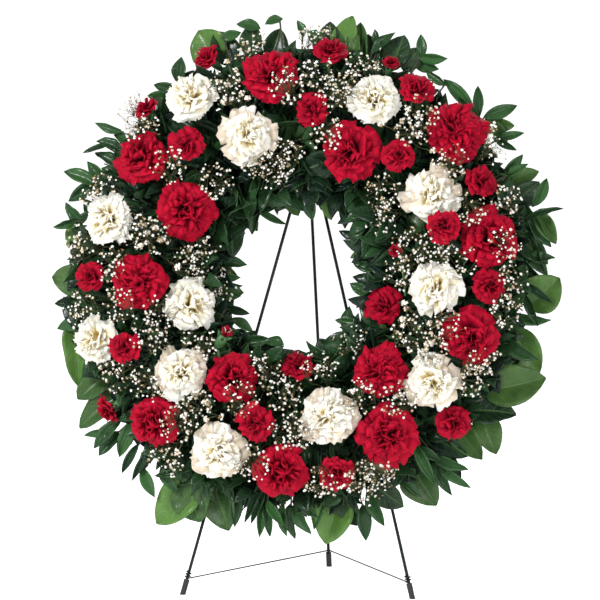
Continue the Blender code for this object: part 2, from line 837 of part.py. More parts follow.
def leaf_shape(base, along, up, length, width, droop, fold):
    """A leaf as a thin lens: its edge is sharp, and its midrib is the thick part. Broad leaves
    have two points a side, and narrow leaflets one."""
    side = along.cross(up).normalized()
    up = side.cross(along).normalized()

    def at(share, out, lift=0.0):
        sag = -droop * length * share * share + fold * abs(out) * width
        return base + along * share * length + side * out * width + up * (sag + lift)

    half = LEAF_THICKNESS / 2
    if width / length > 0.5:
        edge = [at(0, 0), at(0.28, 0.44), at(0.66, 0.42), at(1, 0), at(0.66, -0.42), at(0.28, -0.44)]
        ribs = [at(0.30, 0, half), at(0.68, 0, half), at(0.30, 0, -half), at(0.68, 0, -half)]
        faces = []
        for first, second, flip in ((6, 7, False), (8, 9, True)):
            top = [(0, 1, first), (1, 2, second), (1, second, first), (2, 3, second)]
            top += [(3, 4, second), (4, 5, first), (4, first, second), (5, 0, first)]
            faces += [tuple(reversed(f)) if flip else f for f in top]
        return edge + ribs, faces
    edge = [at(0, 0), at(0.45, 0.5), at(1, 0), at(0.45, -0.5)]
    ribs = [at(0.45, 0, half), at(0.45, 0, -half)]
    faces = [(0, 1, 4), (1, 2, 4), (2, 3, 4), (3, 0, 4), (1, 0, 5), (2, 1, 5), (3, 2, 5), (0, 3, 5)]
    return edge + ribs, faces


class Sector:
    """The greens of one eighth of the ring, all on one skeleton of twigs."""

    def __init__(self, index, obstacles):
        self.name = f"greens_{index + 1}"
        self.middle = 2 * math.pi * index / SECTORS
        self.half = math.pi / SECTORS
        self.obstacles = obstacles
        self.draw = random.Random(SEED * 100 + index)
        self.shapes = []
        self.roots = []
        self.taken = []

    def point(self, angle, offset, height):
        radius = RING_RADIUS + offset
        return Vector((radius * math.cos(angle), radius * math.sin(angle), height))

    def outside(self, point, room):
        """True if the point leaves the sector's wedge."""
        angle = math.atan2(point.y, point.x) - self.middle
        angle = (angle + math.pi) % (2 * math.pi) - math.pi
        radius = math.hypot(point.x, point.y)
        return abs(angle) > self.half - SECTOR_GAP - room / radius

    def skeleton(self):
        """An outer and an inner branch along the ring, a twig over the foam and its cut end."""
        span = self.half - ARC_END_GAP
        for offset in (ARC_OFFSET, -ARC_OFFSET):
            steps = 4 if offset > 0 else 3
            points = [
                self.point(self.middle - span + 2 * span * i / steps, offset, ARC_HEIGHT) for i in range(steps + 1)
            ]
            self.shapes.append(tube_shape(points, TWIG, 3, Vector((0, 0, 1))))
        self.bridge_angle, lowest = None, None
        for step in range(-14, 15):
            angle = self.middle + self.half * 0.72 * step / 14
            if not self.bridge_blocked(angle) and (lowest is None or abs(step) < lowest):
                self.bridge_angle, lowest = angle, abs(step)
        if self.bridge_angle is None:
            self.bridge_angle = self.middle
        tangent = Vector((-math.sin(self.bridge_angle), math.cos(self.bridge_angle), 0))
        self.tangent = tangent
        self.shapes.append(tube_shape(self.bridge(self.bridge_angle), TWIG * 0.9, 3, tangent))
        top = self.point(self.bridge_angle, 0, FOAM_TOP + 0.003)
        end = self.point(self.bridge_angle, 0, FOAM_TOP - 0.014)
        self.shapes.append(tube_shape([top, end], 0.0014, 4, tangent))
        self.roots.append((self.point(self.bridge_angle, 0, FOAM_TOP + 0.001), end, 0.0014, 4, tangent))

    def bridge(self, angle):
        """The twig's path over the foam, from the outer branch to the inner one."""
        points = [self.point(angle, ARC_OFFSET, ARC_HEIGHT)]
        for offset, height in foam_profile()[1:-1]:
            turn = math.atan2(offset, height - CORE_HEIGHT)
            away = foam_distance(turn) + TWIG + 0.002
            points.append(self.point(angle, away * math.sin(turn), CORE_HEIGHT + away * math.cos(turn)))
        points.append(self.point(angle, -ARC_OFFSET, ARC_HEIGHT))
        return points

    def bridge_blocked(self, angle):
        path = self.bridge(angle)
        return any(
            self.rod_hits_stem(a, b, TWIG + CLEAR) for a, b in zip(path, path[1:])
        )

    def rod_hits_stem(self, a, b, room):
        steps = max(2, int((b - a).length / 0.003))
        for i in range(steps + 1):
            point = a.lerp(b, i / steps)
            for start, end, radius in self.obstacles.rods:
                side = end - start
                length = side.length_squared
                share = max(0.0, min(1.0, (point - start).dot(side) / length)) if length else 0.0
                if (start + side * share - point).length < radius + room:
                    return True
        return False

    def leaf_points(self, base, along, up, length, width, droop, fold):
        """Points spread over a leaf's blade."""
        side = along.cross(up).normalized()
        up = side.cross(along).normalized()
        points = []
        for share in (0.12, 0.24, 0.36, 0.48, 0.6, 0.72, 0.86, 1.0):
            for out in (-0.46, -0.3, -0.15, 0.0, 0.15, 0.3, 0.46):
                reach = out * min(1.0, 4.2 * share * (1.02 - share))
                sag = -droop * length * share * share + fold * abs(reach) * width
                points.append(base + along * share * length + side * reach * width + up * sag)
        return points

    def leaf_fits(self, *leaf):
        """True if a leaf stays in the sector, off every obstacle and off the other leaves."""
        points = self.leaf_points(*leaf)
        for point in points:
            if self.outside(point, CLEAR) or self.obstacles.blocked(point, CLEAR):
                return False
        room = max(LEAF_ROOM, leaf[4] * 0.13)
        return all((a - b).length > room for a in points[7:] for b in self.taken)

    def add_leaf(self, base, along, up, length, width, droop, fold):
        self.taken += self.leaf_points(base, along, up, length, width, droop, fold)[7:]
        self.shapes.append(leaf_shape(base - along * LEAF_ROOT, along, up, length, width, droop, fold))

    def twig_fits(self, a, b):
        steps = 8
        for i in range(1, steps + 1):
            point = a.lerp(b, i / steps)
            if self.outside(point, CLEAR) or self.obstacles.blocked(point, THIN_TWIG + CLEAR * 0.6):
                return False
        return True

    def heading(self, angle, outward_sign, yaw_limit, rises):
        """A direction for a leaf or sprig: out from the ring or into its hole, turned aside and
        raised by seeded draws, in degrees."""
        out = Vector((math.cos(angle), math.sin(angle), 0)) * outward_sign
        across = Vector((-math.sin(angle), math.cos(angle), 0))
        yaw = math.radians(self.draw.uniform(-yaw_limit, yaw_limit))
        rise = math.radians(self.draw.uniform(*rises))
        flat = out * math.cos(yaw) + across * math.sin(yaw)
        return flat * math.cos(rise) + Vector((0, 0, math.sin(rise)))

    def arc_angle(self, i, count):
        """The i-th of count places along the sector's branches, shifted by a seeded draw."""
        span = self.half - ARC_END_GAP
        share = (i + 0.5 + self.draw.uniform(-0.35, 0.35)) / count
        return self.middle - span + 2 * span * share

    def collar_leaves(self, count, offset, outward_sign, length, width, rises):
        """Leaves of one size on the outer or the inner branch."""
        for i in range(count):
            for _ in range(TRIES):
                angle = self.arc_angle(i, count)
                base = self.point(angle, offset, ARC_HEIGHT)
                along = self.heading(angle, outward_sign, 32, rises)
                size = self.draw.uniform(0.88, 1.08)
                droop = self.draw.uniform(-0.05, 0.05)
                leaf = (base, along, Vector((0, 0, 1)), length * size, width * size, droop, 0.15)
                if self.leaf_fits(*leaf):
                    self.add_leaf(*leaf)
                    break

    def collar_sprig(self, offset, outward_sign, length, size, rises):
        for _ in range(TRIES):
            angle = self.arc_angle(0, 1)
            base = self.point(angle, offset, ARC_HEIGHT)
            along = self.heading(angle, outward_sign, 30, rises)
            up = (Vector((0, 0, 1)) - outward(base) * outward_sign * 0.4).normalized()
            if self.sprig(base, along, up, length * self.draw.uniform(0.85, 1.1), 2, size):
                break

    def sprig(self, base, along, up, length, leaflets, size):
        """A twig with a leaflet on its tip and others in turn along its sides."""
        tip = base + along * length
        if not self.twig_fits(base, tip):
            return False
        side = along.cross(up).normalized()
        plan = [(tip - along * 0.002, along)]
        for k in range(leaflets):
            share = 0.28 + 0.62 * k / leaflets
            hand = 1 if k % 2 else -1
            open_angle = math.radians(self.draw.uniform(42, 60))
            direction = along * math.cos(open_angle) + side * hand * math.sin(open_angle)
            plan.append((base + along * length * share, direction))
        kept = [(p, d) for p, d in plan if self.leaf_fits(p, d, up, size, size * 0.42, 0.1, 0.2)]
        if len(kept) < 2:
            return False
        self.shapes.append(tube_shape([base, tip], THIN_TWIG, 3, up))
        for point, direction in kept:
            self.add_leaf(point, direction, up, size, size * 0.42, 0.1, 0.2)
        return True

    def face_leaves(self, count, length, width):
        """Leaves from the twig over the foam, which rise between the blooms."""
        path = self.bridge(self.bridge_angle)[1:-1]
        for i in range(count):
            for _ in range(TRIES):
                base = path[0].lerp(path[-1], (i + 0.5) / count)
                base = min(path, key=lambda point: (point - base).length)
                normal = (base - core_of(base)).normalized()
                hand = self.draw.choice((-1, 1))
                rise = math.radians(self.draw.uniform(3, 50))
                aside = outward(base) * self.draw.uniform(-0.5, 0.5)
                along = (self.tangent * hand + aside).normalized() * math.cos(rise) + normal * math.sin(rise)
                up = normal - along * normal.dot(along)
                size = self.draw.uniform(0.7, 1.1)
                leaf = (base, along.normalized(), up.normalized(), length * size, width * size, 0.1, 0.2)
                if self.leaf_fits(*leaf):
                    self.add_leaf(*leaf)
                    break

    def grow(self):
        self.skeleton()
        self.collar_leaves(3, ARC_OFFSET, 1, 0.082, 0.052, (-4, 16))
        self.collar_leaves(2, -ARC_OFFSET, -1, 0.070, 0.036, (-4, 20))
        self.collar_sprig(ARC_OFFSET, 1, 0.048, 0.038, (14, 50))
        self.collar_leaves(2, ARC_OFFSET, 1, 0.062, 0.030, (20, 62))
        self.collar_leaves(1, -ARC_OFFSET, -1, 0.052, 0.026, (14, 60))
        self.face_leaves(3, 0.060, 0.034)


def main():
    for old in list(bpy.data.objects):
        bpy.data.objects.remove(old)
    finishes = {slot: finish_of(slot) for slot in COLOURS}
    front_frame(finishes["steel"])
    rear_leg(finishes["steel"])
    foot_caps(finishes["rubber"])
    stay_wire(finishes["steel"])
    blooms = all_blooms()
    bloom_nodes(blooms, finishes)
    roots = bloom_roots(blooms)
    obstacles = Obstacles(blooms)
    spray_rods = []
    for name, pixel in BREATH.items():
        spray_rods += breath_spray(name, pixel, obstacles, finishes["breath"], roots)
    obstacles.rods += spray_rods
    for index in range(SECTORS):
        sector = Sector(index, obstacles)
        sector.grow()
        roots += sector.roots
        finished(joined(sector.name, sector.shapes), finishes["greens"])
    ring(finishes["tray"], finishes["foam"], roots)


main()
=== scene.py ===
"""Standing funeral wreath: carnations, mini carnations, baby's breath and leaves on a foam ring,
on a folding wire easel. Everything is in metres, +Z up, and the flowers face -Y."""

import math
import random

import bpy
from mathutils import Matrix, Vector

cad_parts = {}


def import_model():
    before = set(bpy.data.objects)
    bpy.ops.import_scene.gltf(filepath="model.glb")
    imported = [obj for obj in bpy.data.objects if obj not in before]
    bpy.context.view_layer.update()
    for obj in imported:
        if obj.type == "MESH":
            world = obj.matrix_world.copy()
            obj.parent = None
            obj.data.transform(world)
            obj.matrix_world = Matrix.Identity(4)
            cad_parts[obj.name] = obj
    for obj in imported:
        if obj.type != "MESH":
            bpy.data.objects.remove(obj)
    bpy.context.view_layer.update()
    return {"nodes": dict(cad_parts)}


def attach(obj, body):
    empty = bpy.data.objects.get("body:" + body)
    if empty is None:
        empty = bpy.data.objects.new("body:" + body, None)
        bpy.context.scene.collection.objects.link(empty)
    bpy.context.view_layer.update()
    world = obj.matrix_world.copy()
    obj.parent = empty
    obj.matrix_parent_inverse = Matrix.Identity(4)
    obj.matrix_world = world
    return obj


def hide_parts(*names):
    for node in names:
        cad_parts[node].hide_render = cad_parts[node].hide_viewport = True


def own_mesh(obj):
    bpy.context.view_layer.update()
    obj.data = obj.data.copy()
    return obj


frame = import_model()

# How the photograph is read: one pixel at the wreath, the pixel of the ring's centre, and the
# direction it looks from, measured from the wreath's own axis
METRES_PER_PIXEL = 0.00127
CENTRE_PIXEL = (305.5, 285.0)
SIGHT_ROUNDS = 8
STEEPEST = math.radians(74)
SEEN_FROM_RIGHT = math.radians(8)
SEEN_FROM_BELOW = math.radians(6)

# The wreath's own frame: u to the right, v up and n to the front, leaning back on the easel
LEAN = math.radians(11)
CENTRE = Vector((0, -0.0272, 0.398))
AXIS_U = Vector((1, 0, 0))
AXIS_V = Vector((0, math.sin(LEAN), math.cos(LEAN)))
AXIS_N = Vector((0, -math.cos(LEAN), math.sin(LEAN)))
UP = Vector((0, 0, 1))
FRONT = Vector((math.sin(SEEN_FROM_RIGHT), -math.sin(SEEN_FROM_BELOW), 1)).normalized()

# Camera
CAMERA_DISTANCE = 8.0
CAMERA_ELEVATION = LEAN - SEEN_FROM_BELOW
FRAME_PIXELS = 600
FRAME_MIDDLE = (300.0, 307.0)

# Lights, by their place, width and power, and how bright the white room and floor are
LIGHTS = (
    ("key", (-1.6, -2.6, 2.0), 0.7, 100),
    ("fill", (2.2, -2.4, 0.8), 1.4, 34),
    ("rim", (0.6, 1.8, 2.2), 1.0, 20),
)
ROOM_LIGHT = 0.52
ROOM_SEEN_MORE = 0.53
FLOOR_LIGHT = 0.64

# Foam ring
RING_RADIUS = 0.200
FOAM_HALF_WIDTH = 0.040
FOAM_BACK = 0.0021
FOAM_SHOULDER = 0.028
FOAM_TOP = 0.046
TRAY_WALL = 0.0015
TRAY_HEIGHT = 0.012
SEAT_GAP = 0.0003
CORE_HEIGHT = 0.022
STEM_DEPTH = 0.016

# Easel
WIRE = 0.002
CROWN = Vector((0, 0.147, -WIRE - SEAT_GAP))
LEGS_MEET_V = 0.171
LEG_SLOPE = 0.2546
EYE_RADIUS = 2 * WIRE + 0.0004
REAR_REACH = 0.190
STAY_HEIGHT = 0.021
STAY_WIRE = 0.0009
WRAP_HEIGHT = 0.008
WRAP_TURNS = 2.5
HOOK_REACH = 0.052
HOOK_TURN = 0.012


def numbered(kind, *rows):
    """Names the rows of a table kind_01, kind_02 and so on."""
    return {f"{kind}_{i:02d}": row for i, row in enumerate(rows, 1)}


# Blooms, by the pixel of their middle and their radius in pixels. Some are lifted along the stem,
# some are turned from the front by another share than their kind's or to an axis of their own,
# some are older, and the smallest fork off the stem of another bloom
RED = numbered(
    "red",
    (265, 84, 28), (346, 160, 30), (451, 138, 31), (139, 168, 27), (187, 220, 30), (485, 243, 30),
    (141, 291, 28), (469, 341, 29), (236, 384, 26), (381, 375, 27), (160, 429, 26),
    (390, 440, 30), (286, 475, 28),
)
WHITE = numbered(
    "white",
    (185, 107, 26), (244, 144, 28), (369, 107, 26), (427, 202, 28), (108, 230, 26),
    (432, 293, 27), (193, 312, 27), (97, 349, 24), (184, 379, 26), (433, 387, 27), (330, 420, 28),
    (222, 457, 28),
)
MINI = numbered(
    "mini",
    (201, 66, 15), (141, 118, 13), (184, 154, 18), (323, 58, 18), (307, 119, 17), (385, 70, 9),
    (410, 97, 18), (394, 163, 17), (477, 188, 17), (438, 233, 17), (393, 257, 7), (487, 290, 17),
    (383, 312, 19), (456, 426, 18), (340, 477, 18), (300, 371, 17), (260, 428, 19),
    (112, 419, 15), (128, 356, 16), (92, 286, 16),
)
BUD = numbered("bud", (228, 343, 6))
LIFTS = {
    "white_04": -0.008, "white_08": -0.008, "mini_07": 0.012, "mini_10": 0.016, "mini_17": 0.006,
    "mini_19": 0.014,
}
FACING = {
    "mini_02": 0.80, "mini_09": 1.05, "mini_11": 0.30, "mini_13": 0.15, "mini_14": 0.55,
    "mini_16": 0.60, "mini_18": 0.98, "mini_19": 0.55, "mini_20": 0.45,
}
AXES = {"mini_01": (-0.60, 0.42, 0.68), "bud_01": (0.50, 0.66, 0.56)}
OLDER = ("white_02", "white_04", "white_09", "white_10", "white_11", "white_12")
FORKED = {
    "mini_03": "red_04", "mini_06": "mini_07", "mini_08": "red_02", "mini_11": "mini_13",
    "mini_12": "red_06", "mini_17": "red_09", "mini_20": "red_07", "bud_01": "red_09",
}
REACH = 0.098
LARGE_FORM = {"height": 0.036, "calyx": (0.022, 0.0070), "stem": 0.0024, "turned": 0.55}
MINI_FORM = {"height": 0.022, "calyx": (0.018, 0.0050), "stem": 0.0018, "turned": 0.75}
BUD_FORM = {"height": 0.016, "calyx": (0.020, 0.0050), "stem": 0.0018, "turned": 1.1}
SMALL_HEAD = 0.85  # a head is lower than its form where its radius is under this share of it
FACE_SHARE = 0.55  # how much of a head's height lies under its face
FORK_SHARE = 0.2  # how far down the other stem a forked one is rooted
BUD_LIFT = 0.010
BUD_SWELL = 1.35
BUD_STRETCH = 1.7

# A head as an obstacle, in shares of its height and radius: its top, the height of its rim, the
# width of its throat, and the middle and the radius of what may not be covered
HEAD_TOP = 1.06
HEAD_RIM = 0.36
HEAD_THROAT = 0.14
VEIL_MIDDLE = 0.6
VEIL_SHARE = 0.94

# Petals of the two kinds of bloom, from the guard petals in. Each row gives how many there are,
# the share of the radius and height that their rims reach, how high they rise before they
# flare, half their width, how strongly they ruffle, how far they turn aside in degrees, and
# how far their roots stray from the middle
LARGE_LAYERS = (
    (8, 1.00, 0.36, 0.52, 0.42, 0.095, 14, 0.03),
    (7, 0.92, 0.52, 0.66, 0.45, 0.110, 20, 0.06),
    (7, 0.76, 0.70, 0.82, 0.42, 0.140, 32, 0.09),
    (7, 0.58, 0.84, 0.92, 0.37, 0.150, 50, 0.12),
    (7, 0.40, 0.94, 0.98, 0.31, 0.140, 75, 0.15),
    (9, 0.24, 0.98, 1.02, 0.22, 0.150, 90, 0.22),
)
MINI_LAYERS = (
    (8, 1.00, 0.44, 0.60, 0.50, 0.090, 15, 0.03),
    (7, 0.82, 0.68, 0.80, 0.44, 0.130, 35, 0.08),
    (6, 0.52, 0.88, 0.94, 0.36, 0.150, 60, 0.14),
    (5, 0.24, 1.00, 1.00, 0.26, 0.130, 90, 0.18),
)

ROLLED_LAYERS = (
    (6, 0.66, 0.80, 0.86, 0.70, 0.05, 20, 0.03),
    (5, 0.30, 1.05, 1.05, 0.45, 0.06, 60, 0.04),
)
STRIPED_LAYERS = ((3, 0.50, 1.00, 1.00, 0.22, 0.04, 20, 0.03),)
# The seeds of each kind's patterns, and the rows and columns of its petals
LARGE_PATTERNS = ((11, 12, 13, 14, 15, 16), LARGE_LAYERS, 6, 12)
MINI_PATTERNS = ((21, 22, 23), MINI_LAYERS, 5, 9)
ROLLED_PATTERN = ((3,), ROLLED_LAYERS, 6, 7)
STRIPED_PATTERN = ((4,), STRIPED_LAYERS, 6, 7)
PETAL_THICKNESS = 0.012
# Painted shade at the heart: within this share of the radius the petals are made darker, up to
# this much; on the white blooms this also gives their yellow heart tint
HEART_REACH = 0.62
HEART_SHADE_AND_TINT = 0.26

# An older head: how many of its first petals spread wide, how far these and the others reach,
# and how many are dull but for one in four
GUARD_PETALS = 8
OLD_SPREAD = 1.07
OLD_GATHER = 0.90
DULL_PETALS = 11
DULL_SHADE = 0.95
FRESH_SHADE = 0.85

# Calyx: its outline as (share of the length, share of the width), its bracts and their points
CALYX_OUTLINE = ((0.0, 0.98), (0.30, 1.04), (0.65, 0.92), (0.88, 0.62), (1.0, 0.40))
CALYX_RISE = 0.003
BRACTS = 5
BRACT_RADII = (0.0022, 0.0016, 0.0002)

# Baby's breath: the sprays that stand in the foam, and the middles of the clusters that the
# photograph shows, in pixels
BREATH = {
    "breath_01": (226, 100, 40),
    "breath_02": (412, 132, 40),
    "breath_03": (150, 250, 40),
    "breath_04": (421, 336, 40),
    "breath_05": (197, 428, 40),
    "breath_06": (366, 408, 40),
}
BREATH_REACH = 0.108
BREATH_BRANCHES = 5
FLORET_RADIUS = 0.0042
BREATH_STEM = 0.0012
BREATH_TWIG = 0.0008
CLUSTERS = (
    (126, 115), (220, 96), (245, 55), (283, 96), (310, 42), (311, 82), (357, 76), (329, 101),
    (323, 142), (283, 163), (168, 176), (214, 191), (99, 201), (77, 252), (153, 245), (191, 272),
    (224, 293), (115, 274), (407, 138), (415, 122), (445, 170), (380, 201), (376, 226), (487, 153),
    (503, 207), (463, 216), (407, 252), (497, 252), (507, 283), (124, 315), (164, 323), (82, 319),
    (153, 344), (202, 352), (119, 382), (153, 392), (184, 430), (172, 468), (203, 415), (245, 407),
    (268, 376), (287, 399), (293, 438), (258, 466), (350, 346), (321, 371), (407, 338), (445, 332),
    (430, 354), (503, 315), (472, 382), (361, 403), (399, 403), (304, 434), (382, 472), (325, 487),
    (378, 491), (363, 482), (256, 170), (273, 183), (137, 240), (430, 257), (397, 277), (477, 367),
    (205, 262), (140, 140), (340, 100), (455, 268),
)
CLUSTER_SPREAD = 19
CLUSTER_FLORETS = 60
CLUSTER_FORKS = 8
CLUSTER_SIZES = (0.0012, 0.0026)
SPRAY_SIZES = (0.0019, 0.0027)
SPRAY_FLORETS = 7
UNOPENED = 0.2
UNOPENED_SIZE = 0.7
TRUNK = 0.0009
TWIG_RADII = (0.0006, 0.0005, 0.0005, 0.0004)
STALK_RADII = (0.0003, 0.00025, 0.0002)

# Greens
SECTORS = 8
SECTOR_GAP = math.radians(0.35)
ARC_END_GAP = math.radians(3.5)
ARC_OFFSET = 0.046
ARC_HEIGHT = 0.014
TWIG = 0.0017
THIN_TWIG = 0.0010
LEAF_ROOM = 0.0035
CLEAR = 0.0012
ROD_STEP = 0.004
BRIDGE_STEP = 0.003
TWIG_STEPS = 8
TRIES = 150
SEED = 7
LEAF_SHARES = (0.12, 0.24, 0.36, 0.48, 0.6, 0.72, 0.86, 1.0)
LEAF_OUTS = (-0.46, -0.3, -0.15, 0.0, 0.15, 0.3, 0.46)
BRIDGE_TRIES = 14
BRIDGE_REACH = 0.72
# The darker greens of the leaves that fill under and between the shown ones: painted shade for
# their depth among the blooms
SHADED_INNER_GREENS = (0.0, 0.62)
FILL_REACH = 0.293
FILL_REACH_BELOW = 0.016
BELOW = math.radians(240)
LEAF_THICKNESS = 0.008
MODELS_OF_A_KIND = 6
# Each kind's first seed, its columns and rows, where it is widest and how blunt it is
LEAF_MODELS = {
    "broad": (40, 9, 12, 0.85, 0.66),
    "small": (50, 5, 9, 0.95, 0.80),
    "fine": (60, 3, 7, 0.92, 0.88),
}
# Leaves that hide the ring: the turns round the foam's section between which they stand, in
# degrees, outwards or inwards, how many in a sector, and their length and width
FOAM_LEAVES = (
    ((25, 62), 1, 15, 0.058, 0.025),
    ((50, 75), 1, 12, 0.054, 0.024),
    ((-62, -25), -1, 11, 0.048, 0.021),
    ((-25, 25), 1, 17, 0.044, 0.020),
    ((-25, 25), -1, 13, 0.042, 0.019),
)
# Sprigs at the sides: how many in a sector, from which offset and height, outwards or inwards,
# how far they rise in degrees, their length, and how many leaves they have
SPRIG_TIERS = (
    (7, 0.044, 0.016, 1, (-2, 20), (0.034, 0.062), 7),
    (7, 0.042, 0.032, 1, (8, 42), (0.040, 0.070), 8),
    (4, 0.044, 0.034, 1, (-6, 16), (0.068, 0.086), 8),
    (6, -0.044, 0.018, -1, (0, 26), (0.050, 0.090), 8),
    (5, -0.042, 0.034, -1, (12, 46), (0.044, 0.078), 7),
)
FACE_SPRIGS = 26
HOLE_HALF_WIDTH = 0.073
HOLE_HALF_HEIGHT = 0.084
HOLE_MIDDLE = (-0.012, -0.010)

